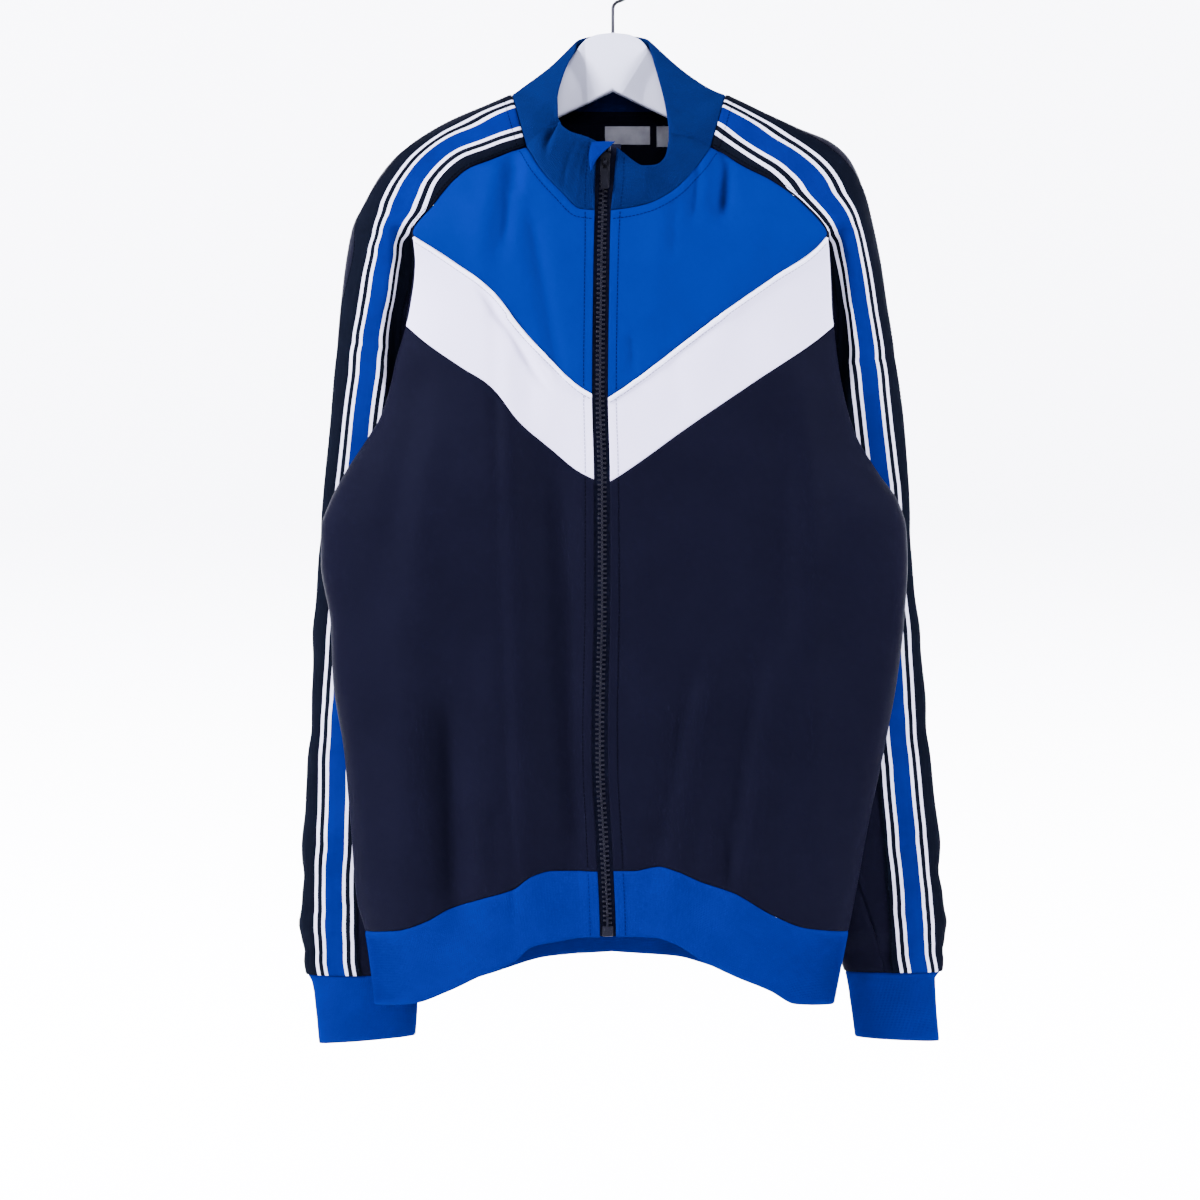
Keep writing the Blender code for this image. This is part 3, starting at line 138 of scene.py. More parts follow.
class Finish:
    """A material that is built up step by step: each call adds nodes and returns a socket."""

    def __init__(self, name, base, roughness, **sockets):
        self.material = bpy.data.materials.new(name)
        self.material.use_nodes = True
        self.tree = self.material.node_tree
        self.shader = self.tree.nodes["Principled BSDF"]
        self.shader.inputs["Base Color"].default_value = (*base, 1)
        self.shader.inputs["Roughness"].default_value = roughness
        for key, value in sockets.items():
            self.shader.inputs[key.replace("_", " ")].default_value = value

    def node(self, kind, **values):
        """A new node; a value whose name is an input's goes there, any other is a property."""
        node = self.tree.nodes.new(kind)
        for key, value in values.items():
            label = key.replace("_", " ")
            if label in node.inputs:
                self.put(value, node.inputs[label])
            else:
                setattr(node, key, value)
        return node

    def put(self, value, socket):
        """Links a socket to another, or sets its number or colour."""
        if isinstance(value, bpy.types.NodeSocket):
            self.tree.links.new(value, socket)
        else:
            socket.default_value = value

    def place(self, cloth=True):
        """Where a point is: its cloth coordinates, or its place in the object, in metres."""
        return self.node("ShaderNodeTexCoord").outputs["UV" if cloth else "Object"]

    def across(self, cloth=True):
        """A place's three numbers; on cloth the first is metres across, the next metres along."""
        return self.node("ShaderNodeSeparateXYZ", Vector=self.place(cloth)).outputs

    def math(self, operation, first, second=0.0, third=0.0):
        node = self.node("ShaderNodeMath", operation=operation)
        for value, socket in zip((first, second, third), node.inputs):
            self.put(value, socket)
        return node.outputs["Value"]

    def noise(self, size, detail=2.0, cloth=False, stretch=(1, 1, 1)):
        """Noise with features of this size in metres, stretched along the axes."""
        scale = self.node("ShaderNodeMapping", Vector=self.place(cloth), Scale=stretch)
        node = self.node("ShaderNodeTexNoise", Vector=scale.outputs["Vector"], Scale=1 / size,
                         Detail=detail)
        return node.outputs["Fac"]

    def range(self, value, low, high, to_low, to_high):
        node = self.node("ShaderNodeMapRange", Value=value)
        for key, number in (("From Min", low), ("From Max", high), ("To Min", to_low), ("To Max", to_high)):
            node.inputs[key].default_value = number
        return node.outputs["Result"]

    def wave(self, distance, length):
        """A sine along a distance, with this wavelength; both in metres."""
        return self.math("SINE", self.math("MULTIPLY", distance, 2 * math.pi / length))

    def colour(self, socket):
        self.put(socket, self.shader.inputs["Base Color"])

    def shaded(self, colour, share):
        """A colour made lighter or darker by a socket's share."""
        node = self.node("ShaderNodeVectorMath", operation="SCALE", Scale=share)
        self.put(colour, node.inputs[0])
        self.colour(node.outputs["Vector"])

    def mottle(self, value, base, dark, light):
        """The base colour from a dark to a light share of itself, by a noise's value."""
        node = self.node("ShaderNodeValToRGB", Fac=value)
        for stop, place, share in zip(node.color_ramp.elements, (LOW, HIGH), (dark, light)):
            stop.position, stop.color = place, (*tint(base, share), 1)
        self.colour(node.outputs["Color"])

    def gloss(self, value, low, high):
        """A roughness from low to high, by a noise's value."""
        self.put(self.range(value, LOW, HIGH, low, high), self.shader.inputs["Roughness"])

    def relief(self, height, depth, after=None):
        """Bump of this depth in metres, on top of another bump if one is given."""
        node = self.node("ShaderNodeBump", Height=height, Distance=depth)
        if after is not None:
            self.put(after, node.inputs["Normal"])
        self.put(node.outputs["Normal"], self.shader.inputs["Normal"])
        return node.outputs["Normal"]


def tint(base, share):
    """A colour made lighter or darker by a share."""
    return tuple(min(1.0, c * share) for c in base)


print("a finish can have:", ", ".join(name for name in vars(Finish) if not name.startswith("_")))

# %% [markdown]
# The stage takes the first finish: pale matt paper. A camera behind the stage would see only its
# back and no jacket, so a clear shader is mixed in wherever a face is turned away.

# %% The stage's finish
paper = Finish("stage_paper", (0.86, 0.865, 0.87), 0.8)
clear = paper.node("ShaderNodeBsdfTransparent").outputs["BSDF"]
mix = paper.node("ShaderNodeMixShader", Fac=paper.node("ShaderNodeNewGeometry").outputs["Backfacing"])
paper.put(paper.shader.outputs["BSDF"], mix.inputs[1])
paper.put(clear, mix.inputs[2])
paper.put(mix.outputs["Shader"], paper.tree.nodes["Material Output"].inputs["Surface"])
stage.data.materials.append(paper.material)
print(paper.material.name, "has", len(paper.tree.nodes), "nodes")

# %% [markdown]
# Every measure of the garment is kept in short tables, a row for each height or station, and read
# through one smooth curve. That is how a cutter works too: a few measured levels, and fair lines
# between them. The curve is a cubic with harmonic slopes, which never overshoots its rows.

# %% Tables and smooth curves
def table(names, *rows):
    """Columns by name, from one row for each section."""
    return dict(zip(names.split(), np.array(rows, float).T))


def tables(names, **rows):
    """Tables with the same columns, one for each side."""
    return {side: table(names, *own) for side, own in rows.items()}


def smooth(at, knots, values):
    """Cubic pieces through the knots, with harmonic slopes so that nothing overshoots."""
    order = np.argsort(knots)
    x, y = knots[order], values[order]
    step = np.diff(x)
    rise = np.diff(y) / step
    before, after = rise[:-1], rise[1:]
    one_way = before * after > 0
    weight_a, weight_b = 2 * step[1:] + step[:-1], step[1:] + 2 * step[:-1]
    safe_a, safe_b = np.where(one_way, before, 1), np.where(one_way, after, 1)
    inside = np.where(one_way, (weight_a + weight_b) / (weight_a / safe_a + weight_b / safe_b), 0)
    slope = np.concatenate([rise[:1], inside, rise[-1:]])
    at = np.clip(at, x[0], x[-1])
    i = np.clip(np.searchsorted(x, at) - 1, 0, len(x) - 2)
    t = (at - x[i]) / step[i]
    hold = (1 + 2 * t) * (1 - t) ** 2 * y[i] + t * t * (3 - 2 * t) * y[i + 1]
    lean = t * (1 - t) ** 2 * slope[i] - t * t * (1 - t) * slope[i + 1]
    return hold + step[i] * lean


def read(rows, name, at, key="z"):
    """A table's column at any value of its key."""
    return smooth(np.asarray(at, float), rows[key], rows[name])


def columns(rows, names, at, key="z"):
    """Several columns of a table, at the same values of its key."""
    return [read(rows, name, at, key) for name in names.split()]


def ease(share):
    """A soft step from 0 to 1, level at both ends and held outside them."""
    share = np.clip(share, 0, 1)
    return share * share * (3 - 2 * share)


def xyz(x, y, z):
    """Points from their three coordinates, each spread to the shape of all."""
    return np.stack(np.broadcast_arrays(x, y, z), axis=-1)


def unit(v):
    return v / np.maximum(np.linalg.norm(v, axis=-1, keepdims=True), 1e-9)


def fine_ends(length, step, fine=(0.0, 0.3, 0.7, 1.3, 2.2)):
    """Shares from 0 to 1 along an edge of this length: even steps, with finer ones at both ends."""
    ends = np.array(fine)
    middle = np.linspace(ends[-1], length - ends[-1], max(2, round(length / step)))
    return np.concatenate([ends[:-1], middle, length - ends[-2::-1]]) / length


print("an edge of 30 mm in steps of 4:", np.round(30 * fine_ends(30, 4), 1))

# %% [markdown]
# A piece of cloth is a grid of points: rows down the cloth and columns across it. Its normals
# come from the grid's own steps, and so does the distance of a point from an edge, which places
# seams, stitches and the pattern of the knit.

# %% Grids of points
def slope(grid, axis):
    """The mean direction of the steps beside each point, along rows (1) or down them (0)."""
    steps = unit(np.diff(grid, axis=axis))
    first, last = np.take(steps, [0], axis=axis), np.take(steps, [-1], axis=axis)
    return np.concatenate([first, steps], axis=axis) + np.concatenate([steps, last], axis=axis)


def normals(grid, outward):
    """Unit normals of a grid, on the side that outward points to: across the two slopes."""
    normal = unit(np.cross(slope(grid, 0), slope(grid, 1)))
    return normal if (normal * outward).sum() > 0 else -normal


def reach(grid, edge):
    """Each point's distance along the cloth from one edge: top, foot, first or last."""
    axis = 0 if edge in ("top", "foot") else 1
    steps = np.linalg.norm(np.diff(grid, axis=axis), axis=-1)
    if edge in ("foot", "last"):
        steps = np.flip(steps, axis)
    total = np.cumsum(steps, axis=axis)
    total = np.concatenate([np.zeros_like(np.take(total, [0], axis=axis)), total], axis=axis)
    return np.flip(total, axis) if edge in ("foot", "last") else total


print("edges of a grid: top and foot rows, first and last columns")

# %% [markdown]
# Cloth has an outer and an inner face. Near a sewn edge the outer face rolls down into the seam,
# and at a folded edge both faces meet in a round turn, so a seam is a soft valley and an edge is
# never a sharp cut.

# %% Outer and inner faces
SEAM_ROLL = 0.75  # how deep an edge rolls into its seam
SEAM_REACH = 1.9  # and over what width


def faces_of(grid, normal, thick, seams="", hems=""):
    """The outer and inner face: seams roll down by a parabola, hems close in a half circle."""
    depth = np.zeros(grid.shape[:2])
    for edge in seams.split():
        depth += SEAM_ROLL * np.clip(1 - reach(grid, edge) / SEAM_REACH, 0, 1) ** 2
    full = np.ones(grid.shape[:2])
    for edge in hems.split():
        full *= np.sqrt(1 - np.clip(1 - reach(grid, edge) / (0.7 * thick), 0, 0.98) ** 2)
    outer = grid - normal * np.minimum(depth, 0.85 * thick)[..., None]
    inner = grid - normal * thick
    middle, half = (outer + inner) / 2, (outer - inner) / 2 * full[..., None]
    return middle + half, middle - half


print("a seam rolls down by", SEAM_ROLL, "mm over", SEAM_REACH, "mm")

# %% [markdown]
# A mesh is filled from whole arrays at once, which is far quicker than adding vertices one by one.
# Where two cells meet at a steep angle the edge between them is shaded sharp, all others smooth.

# %% Meshes from arrays
SHARP = 55  # degrees between two cells that make an edge look sharp


def quads(ids):
    """The corners of each cell of a grid of point numbers."""
    return np.stack([ids[:-1, :-1], ids[:-1, 1:], ids[1:, 1:], ids[1:, :-1]], axis=-1).reshape(-1, 4)


def ribbon(first, second):
    """The cells between two lines of point numbers."""
    return np.stack([first[:-1], first[1:], second[1:], second[:-1]], axis=-1)


def add_surface(name, points, faces, finish, uv=None):
    """An object from arrays of points, in millimetres, and of four-cornered faces."""
    corners = points[faces]
    fan = np.concatenate([corners[:, [0, 1, 2]], corners[:, [0, 2, 3]]])
    volume = (fan[:, 0] * np.cross(fan[:, 1], fan[:, 2])).sum()
    turned = volume < 0
    if turned:
        faces = faces[:, ::-1]
    mesh = bpy.data.meshes.new(name)
    mesh.vertices.add(len(points))
    mesh.vertices.foreach_set("co", (points * MM).astype(np.float32).ravel())
    mesh.loops.add(4 * len(faces))
    mesh.loops.foreach_set("vertex_index", faces.astype(np.int32).ravel())
    mesh.polygons.add(len(faces))
    mesh.polygons.foreach_set("loop_start", 4 * np.arange(len(faces), dtype=np.int32))
    mesh.polygons.foreach_set("loop_total", np.full(len(faces), 4, np.int32))
    mesh.update(calc_edges=True)
    if uv is not None:
        layer = mesh.uv_layers.new(name="cloth")
        flat = uv[:, ::-1] if turned else uv
        layer.uv.foreach_set("vector", (flat * MM).astype(np.float32).ravel())
    mesh.shade_smooth()
    mesh.set_sharp_from_angle(angle=math.radians(SHARP))
    mesh.materials.append(finish.material)
    body = bpy.data.objects.new(name, mesh)
    bpy.context.scene.collection.objects.link(body)
    return body


print("edges are sharp above", SHARP, "degrees")

# %% [markdown]
# The wall between a cloth's two faces is closed by a rim, so that every piece is a solid. A sleeve
# is open at the shoulder and a tube below it: from a given row on, its first and last columns are
# the same points.

# %% Closed walls
def wall(name, outer, inner, finish, ring_from=None, across=None):
    """A closed wall between two grids, a ring from a row on; its finish may read other distances."""
    rows, width = outer.shape[:2]
    own = np.arange(rows * width).reshape(rows, width)
    shared = own.copy()
    ring_from = rows if ring_from is None else ring_from
    shared[ring_from:, -1] = shared[ring_from:, 0]
    far = rows * width
    open_rows = min(rows, ring_from + 1)

    def cells(ids):
        back = ids + far
        return np.concatenate([
            quads(ids), quads(back)[:, ::-1],
            ribbon(ids[0], back[0])[:, ::-1], ribbon(ids[-1], back[-1]),
            ribbon(ids[:open_rows, 0], back[:open_rows, 0]),
            ribbon(ids[:open_rows, -1], back[:open_rows, -1])[:, ::-1]])

    u, v = reach(outer, "first"), reach(outer, "top")
    where = np.stack([u - u[:, :1] if across is None else across, v], axis=-1).reshape(-1, 2)
    where = np.concatenate([where, where])
    faces, uv = cells(shared), where[cells(own)]
    points = np.concatenate([outer.reshape(-1, 3), inner.reshape(-1, 3)])
    used, faces = np.unique(faces, return_inverse=True)
    return add_surface(name, points[used], faces.reshape(-1, 4), finish, uv)


print("a wall has two faces and a rim of up to four sides")

# %% [markdown]
# Cloth that hangs is never quite even. Three kinds of relief are used: broad ridges and troughs
# along a straight line, each fading out past its ends; finer creases made in the same way; and a
# slow, low unevenness. The fronts carry theirs as a depth that depends on the place alone, so a
# fold runs on across every seam that it meets.

# %% Folds and unevenness
FOLD_PAST = 0.3  # how far a fold runs past its ends, as a share of its length
FOLD_FADE = 0.45  # and over what share it fades out
DRAWS = 64  # random heights each way
UNEVEN = {  # the size of its waves, their height and their seed
    "front": (38.0, 0.55, 11),
    "front_fine": (15.0, 0.14, 12),
    "sleeve_right": (30, 0.35, 26),
    "sleeve_left": (30, 0.35, 25),
    "back": (40, 0.5, 31),
    "piping": (6, 0.25, 51),
    "zip_tape": (14, 0.15, 61),
    "zip_garage": (5, 0.15, 71),
}


def folds(rows, x, z):
    """Soft ridges and troughs: each is a bell across its line, fading out past both ends."""
    lift = np.zeros(np.broadcast(x, z).shape)
    for x0, z0, x1, z1, width, depth in zip(*rows.values()):
        along = (z - z0) / (z1 - z0)
        across = x - (x0 + (x1 - x0) * np.clip(along, -FOLD_PAST, 1 + FOLD_PAST))
        ends = ease(np.minimum(along + FOLD_PAST, 1 + FOLD_PAST - along) / FOLD_FADE)
        lift += depth * np.exp(-((across / width) ** 2)) * ends
    return lift


def uneven(x, z, size, height, seed):
    """Smooth random heights about zero: a seeded grid of numbers, blended between its points."""
    numbers = np.random.default_rng(seed).normal(size=(DRAWS, DRAWS))
    u, v = (np.asarray(place) / size + (DRAWS - 1) / 2 for place in (x, z))
    i, j = (np.floor(w).astype(int) % (DRAWS - 1) for w in (u, v))
    a, b = ease(u - np.floor(u)), ease(v - np.floor(v))
    low = numbers[i, j] * (1 - a) + numbers[i + 1, j] * a
    high = numbers[i, j + 1] * (1 - a) + numbers[i + 1, j + 1] * a
    return height * (low * (1 - b) + high * b)


print("slow unevenness on:", ", ".join(UNEVEN))

# %% [markdown]
# The two fronts share one surface. Seen from above it is crowned: nearly flat beside the zip and
# rolling back towards the side, where it folds over and runs on behind to a hidden seam. A point
# on it is given by a turn, which is 0 at the zip and a quarter turn at the side fold, and by a
# height.

# %% Levels of the fronts
ZIP_OPENING = 6.5  # from the zip's middle to each front's edge
UNDERARM = -430.0
FOLD_TOP = -296.0  # below it the front folds over, and the raglan seam is hidden behind
FRONT_CROWN = 2.6
BEHIND_CROWN = 6.0
EDGE = table(  # where the front turns under at the side; down to -296 this is the raglan seam
    "z right left",
    (-160, 69.6, 78.5), (-165, 85, 87), (-170, 97, 95), (-177, 115, 107), (-186, 126.5, 125),
    (-206, 143, 152), (-230, 160, 171), (-250, 158.5, 173.5), (-296, 165, 177), (-330, 174.7, 181),
    (-352, 179.7, 185), (-376, 187.8, 191), (-391, 197, 196.5), (-420, 216, 214), (-445, 229, 231),
    (-466, 235.7, 237), (-492, 235.7, 238), (-541, 228, 235), (-587, 226, 229.5), (-646, 217, 218.5),
    (-700, 212, 207), (-765, 206.6, 195), (-790, 200, 190), (-849, 192, 178.5),
)
FRONT = table(  # y of the front at the zip and at its edge, how far the edge rolls, roll behind
    "z middle edge roll behind",
    (-160, -46, -28, 1, 0), (-177, -46, -30, 1, 0), (-206, -46, -32, 1, 0), (-232, -47.5, -33, 1, 0),
    (-260, -49, -27, 0.95, 1), (-296, -50, -18.5, 0.8, 3), (-330, -50, -15, 0.58, 8),
    (-376, -50, -11, 0.5, 9.5), (-430, -50, -8.7, 0.5, 12), (-466, -50, -8, 0.5, 11.5),
    (-740, -50, -8, 0.5, 11.5), (-850, -48, -8, 0.5, 11.5),
)
HIDDEN_SEAM = table(  # the raglan seam below -296, then the side seam, behind the side fold
    "z right left",
    (-296, 165, 177), (-325, 166, 175), (-375, 162, 168), (-430, 152, 156), (-600, 155, 158),
    (-850, 160, 158),
)
ZIP = table(  # the zip's middle and its tape's outer face: it wanders a little on its way down
    "z x y",
    (-160, -4.5, -45.2), (-176, -6.5, -44.6), (-205, -8, -42.4), (-225, -8.6, -43.8), (-260, -9.3, -46.4),
    (-360, -10.4, -47.5), (-428, -8.8, -47.5), (-523, -8.7, -47.5), (-586, -9.9, -47.5),
    (-625, -10.6, -47.5), (-655, -10.4, -47.5), (-705, -7.9, -47.5), (-745, -5.8, -46.6),
    (-776, -4.4, -46.1), (-800, -3.9, -45.8),
)
print("levels at the side:", len(EDGE["z"]), "along the zip:", len(ZIP["z"]))

# %% [markdown]
# The folds of the fronts hang from the chest and the armholes and die out above the hem band. Each
# row gives a line on the cloth, from (x0, z0) to (x1, z1), and the width and depth of its bell.

# %% Folds of the fronts
FRONT_FOLDS = table(  # broad ones: above nought a ridge, below it a trough
    "x0 z0 x1 z1 width depth",
    (-158, -430, -165, -745, 24, 6.5), (-132, -620, -124, -765, 15, -10), (-108, -400, -104, -740, 24, 3.5),
    (-84, -395, -69, -735, 14, 7), (-46, -430, -31, -735, 17, -8), (-158, -345, -172, -470, 14, -4),
    (79, -585, 47, -735, 9, 3), (60, -590, 36, -735, 8, -3), (136, -575, 109, -745, 11, 3.5),
    (113, -560, 93, -738, 11, -3.5), (138, -385, 134, -560, 16, -4.5), (153, -400, 158, -700, 17, 5),
    (22, -480, 24, -620, 9, 1.5), (-78, -140, -88, -235, 8.5, -6.5), (-66, -220, -46, -330, 9, -5),
    (-104, -205, -104, -265, 12, 2.2), (90, -150, 87, -212, 7.5, -9), (67, -176, 63, -216, 4.5, -3),
    (48, -212, 47, -245, 5, -2.4), (42, -215, 34, -300, 12, 1.6), (-74, -300, -66, -372, 12, -4),
    (120, -210, 78, -330, 15, 2),
)
FRONT_CREASES = table(  # finer ones
    "x0 z0 x1 z1 width depth",
    (-93, -380, -80, -740, 4.5, -2.4), (-56, -430, -50, -690, 9, -1.2), (-112, -560, -112, -660, 8, -1),
    (37, -735, 66, -600, 4, 1.3), (55, -700, 55, -738, 3, 1.2), (100, -748, 122, -590, 4.5, 1.6),
    (53, -520, 50, -640, 10, -1.2), (-108, -700, -106, -745, 3.5, 1.2), (-95, -696, -92, -742, 4.5, -1.6),
    (-58, -705, -57, -735, 5, -1.0), (-32, -712, -28, -735, 5, 1.6), (88, -700, 92, -745, 4, -1.6),
    (101, -712, 105, -750, 3.5, 1.4), (150, -720, 148, -770, 6, -1.2), (30, -705, 31, -734, 5, -0.8),
    (-96, -290, -86, -380, 8, -1.6), (40, -300, 55, -380, 9, -1.2), (-52, -160, -50, -176, 3, -2.2),
    (-76, -176, -76, -196, 3.5, -2.4), (14, -316, 14, -345, 3, -2.4), (-120, -165, -108, -205, 8, -1.4),
    (-97, -288, -57, -350, 4, -2.8), (104, -240, 98, -300, 7, -1.0),
)
print("folds:", len(FRONT_FOLDS["z0"]), "creases:", len(FRONT_CREASES["z0"]))

# %% [markdown]
# From the levels comes one surface for each side. A line that is sewn across it, such as the edge
# of the chevron, is found by halving: the height at which the surface meets the line's own table.

# %% The fronts' shared surface
PUCKER = 16  # the width beside the zip over which the folds die out
SEARCH, HALVINGS = (-150.0, -860.0), 40  # the heights between which a sewn line is looked for


def edge_x(side, z):
    return SIDES[side] * read(EDGE, side, z)


def zip_x(z):
    return read(ZIP, "x", z)


def front_y(side, x, z):
    """The front at (x, z): crowned from the zip to its edge, with all its folds."""
    share = np.clip((x - zip_x(z)) / (edge_x(side, z) - zip_x(z)), 0, 1)
    middle, edge = read(FRONT, "middle", z), read(FRONT, "edge", z)
    crown = (1 - share**FRONT_CROWN) ** read(FRONT, "roll", z)
    lift = folds(FRONT_FOLDS, x, z) + folds(FRONT_CREASES, x, z)
    for layer in ("front", "front_fine"):  # none within 12 mm of the middle
        lift = lift + uneven(x, 0.6 * z, *UNEVEN[layer]) * np.clip(np.abs(x) / 30 - 0.4, 0, 1)
    beside_zip = np.clip((np.abs(x - zip_x(z)) - ZIP_OPENING) / PUCKER, 0, 1)
    return edge - (edge - middle) * crown - lift * (1 - share**8) * beside_zip


def seam_share(side, z):
    """How far round the side fold the hidden seam lies, as sine of the turn past the fold."""
    seam = SIDES[side] * read(HIDDEN_SEAM, side, z)
    share = (seam - zip_x(z)) / (edge_x(side, z) - zip_x(z))
    return np.where(z > FOLD_TOP, 1.0, np.clip(share, 0.3, 1.0))


def front_turn(side, across, z):
    """The turn at a share across the front, 0 at the zip's edge and 1 at the seam behind."""
    start = np.arcsin(ZIP_OPENING / np.abs(edge_x(side, z) - zip_x(z)))
    end = math.pi - np.arcsin(seam_share(side, z))
    return start + (end - start) * across


def front_x(side, turn, z):
    return zip_x(z) + (edge_x(side, z) - zip_x(z)) * np.sin(turn)


def front_point(side, turn, z):
    """The front panel's point: a quarter turn reaches the side fold, more goes behind it."""
    x = front_x(side, turn, z)
    behind = turn > math.pi / 2
    share = np.clip(np.sin(turn), 0, 1)
    back = read(FRONT, "edge", z) + read(FRONT, "behind", z) * np.sqrt(1 - share**BEHIND_CROWN)
    return xyz(x, np.where(behind, back, front_y(side, x, z)), z)


def crossing(side, line, across):
    """Where a line sewn across the front meets each share across it, found by bisection."""
    high, low = (np.full(across.shape, z) for z in SEARCH)
    for _ in range(HALVINGS):
        z = (high + low) / 2
        turn = front_turn(side, across, z)
        x = np.where(turn > math.pi / 2, edge_x(side, z), front_x(side, turn, z))
        target = read(line, "z", SIDES[side] * x, key="x")
        above = z > target
        high, low = np.where(above, z, high), np.where(above, low, z)
    return (high + low) / 2


def hem_z(side, lines, across):
    """The hem line's height round a front: its own table in front, the back's behind the fold."""
    front = crossing(side, lines[side], across)
    turn = front_turn(side, across, front)
    behind = read(lines["back"], "z", np.abs(front_x(side, turn, front)), key="x")
    return np.where(turn > math.pi / 2, behind, front)


print("the zip wanders by", round(float(np.ptp(ZIP["x"])), 1), "mm")

# %% [markdown]
# A raglan sleeve runs from the neck to the cuff as one piece. Each row of it is a flattened arc
# that leaves the front seam, turns over the ridge, the sleeve's outer fold, and comes back to the
# back seam. Below the armhole the two seams meet and the row is a closed, flattened tube.

# %% Stations and levels of the sleeves
UNDERARM_TURN = 102.0  # where the sleeve's own seam runs down the tube
SHOULDER = tables(  # a row for each station, 0 to 12, neck to underarm
    "ridge_x ridge_y ridge_z seam_z back_x back_y back_z turn_front turn_back",
    right=((82, 0, -114, -160, 75, 24, -122, 85, 85), (102, 0, -123, -165.5, 90, 28, -135, 84, 84),
           (127, 0, -133.5, -173, 106, 31, -147, 82, 84), (152, 0, -147, -181.5, 121, 33, -160, 80, 84),
           (172, 0, -160.5, -192, 133, 34, -175, 80, 84), (189, 0, -180, -207, 144, 34, -192, 80, 84),
           (202, 0, -203, -221, 152, 34, -210, 80, 86), (210.5, 1, -220, -231.5, 156, 33, -228, 82, 90),
           (216, 3, -245, -256, 156, 30, -252, 86, 100), (221.5, 6, -288, -303, 150, 23, -290, 94, 125),
           (225, 10, -325, -333, 138, 12, -325, 99, 174), (229, 14.5, -375, -376, 142, 3.4, -375, 102, 235),
           (235, 18, -430, -430, 152, 2.7, -430, 102, 258)),
    left=((91.4, 0, -114, -160, 80, 24, -122, 85, 85), (108, 0, -121.5, -166.5, 93, 28, -135, 84, 84),
          (128, 0, -130.5, -175, 108, 31, -147, 82, 84), (152, 0, -141.5, -183, 123, 33, -160, 80, 84),
          (175, 0, -151, -192.5, 136, 34, -175, 80, 84), (191, 0, -165, -204, 148, 34, -190, 80, 84),
          (202, 0, -188, -217, 157, 34, -208, 80, 86), (209.5, 1, -218, -231.5, 162, 33, -228, 82, 90),
          (216, 3, -248, -256, 162, 30, -252, 86, 100), (222.5, 6, -288, -303, 156, 23, -290, 94, 125),
          (229, 10, -325, -333, 144, 12, -325, 99, 174), (236, 14.5, -375, -376, 147, 3.4, -375, 102, 235),
          (241, 18, -430, -430, 156, 2.7, -430, 102, 258)),
)
ARM = tables(  # the closed tube: its outer and inner folds, its middle and half depth
    "z outer inner y half",
    right=((-430, 235, 98.6, 18, 15.6), (-490, 240, 76, 23, 15.5), (-541, 242, 82, 22.5, 16),
           (-600, 245, 94, 22.5, 16), (-650, 248, 106, 22.5, 16), (-710, 251, 121, 22, 15.5),
           (-770, 253.2, 139, 22, 14.5), (-813, 252.4, 152, 22, 13.5), (-828.5, 249.8, 156, 22, 13)),
    left=((-430, 241, 100.2, 18, 15.6), (-490, 244, 82, 23, 15.5), (-541, 248, 90, 22.5, 16),
          (-600, 254.5, 104, 22.5, 16), (-650, 259, 120, 22.5, 16), (-712, 264.3, 140, 22, 15.5),
          (-770, 269, 163, 22, 14.5), (-807, 270.6, 182, 22, 13.5), (-826, 268.8, 189, 22, 13)),
)
DEPTH_FROM = 7.2  # the station from which the back half takes its full depth
FULL_DEPTH = table("station depth", (7, 33), (8, 29), (9, 23), (10, 18), (11, 15.5), (12, 27))
ROWS = {  # the stations of each front piece's rows
    "yoke": 7 * fine_ends(130, 3.6),
    "chevron": 7 + 2 * fine_ends(75, 3.6),
    "armhole": 9 + 3 * fine_ends(128, 3.8),
}
STATIONS = np.concatenate([ROWS["yoke"], ROWS["chevron"][1:], ROWS["armhole"][1:]])
ARMHOLE_ROW = len(STATIONS) - 1
print("rows, neck to underarm:", len(STATIONS))

# %% [markdown]
# A row is two flattened arcs that meet at the ridge with the same tangent, one to the front seam
# and one to the back seam. Each arc is given by how far it reaches inward and how deep it is, and
# its points by their turn from the ridge.

# %% The sleeves' rows
def lengths(line):
    """The distance along a line of points, from its first point."""
    return np.concatenate([[0], np.cumsum(np.linalg.norm(np.diff(line, axis=0), axis=1))])


def shoulder_rows(side, stations):
    """Each row's ridge, inward reaches, turns and depths, from neck to underarm."""
    ridge_x, ridge_y, ridge_z, seam_z, back_x, back_y, back_z, front, back = (
        smooth(stations, np.arange(13.0), column) for column in SHOULDER[side].values())
    seam_x, seam_y, _ = front_point(side, front_turn(side, 1.0, seam_z), seam_z).T
    front, back = np.radians(front), np.radians(back)
    to_front = xyz(seam_x * SIDES[side] - ridge_x, 0.0, seam_z - ridge_z)
    to_back = xyz(back_x - ridge_x, 0.0, back_z - ridge_z)
    depth_front = (ridge_y - seam_y) / np.sin(front)
    knots = FULL_DEPTH["depth"].copy()
    knots[-1] = depth_front[-1] if stations[-1] == 12 else knots[-1]
    full = smooth(stations, FULL_DEPTH["station"], knots)
    upper = (back_y - ridge_y) / np.maximum(np.sin(back), 0.5)
    depth_back = upper + (full - upper) * ease((stations - DEPTH_FROM) / 1.2)
    return (xyz(ridge_x, ridge_y, ridge_z), to_front / (1 - np.cos(front))[:, None],
            to_back / (1 - np.cos(back))[:, None], front, back, depth_front, depth_back)


def arm_rows(side, heights):
    """The same for the closed tube of the arm."""
    outer, inner, y, half = columns(ARM[side], "outer inner y half", heights)
    inward = xyz((inner - outer) / 2, 0.0, 0.0)
    front = np.full(len(heights), math.radians(UNDERARM_TURN))
    return xyz(outer, y, heights), inward, inward, front, 2 * math.pi - front, half, half


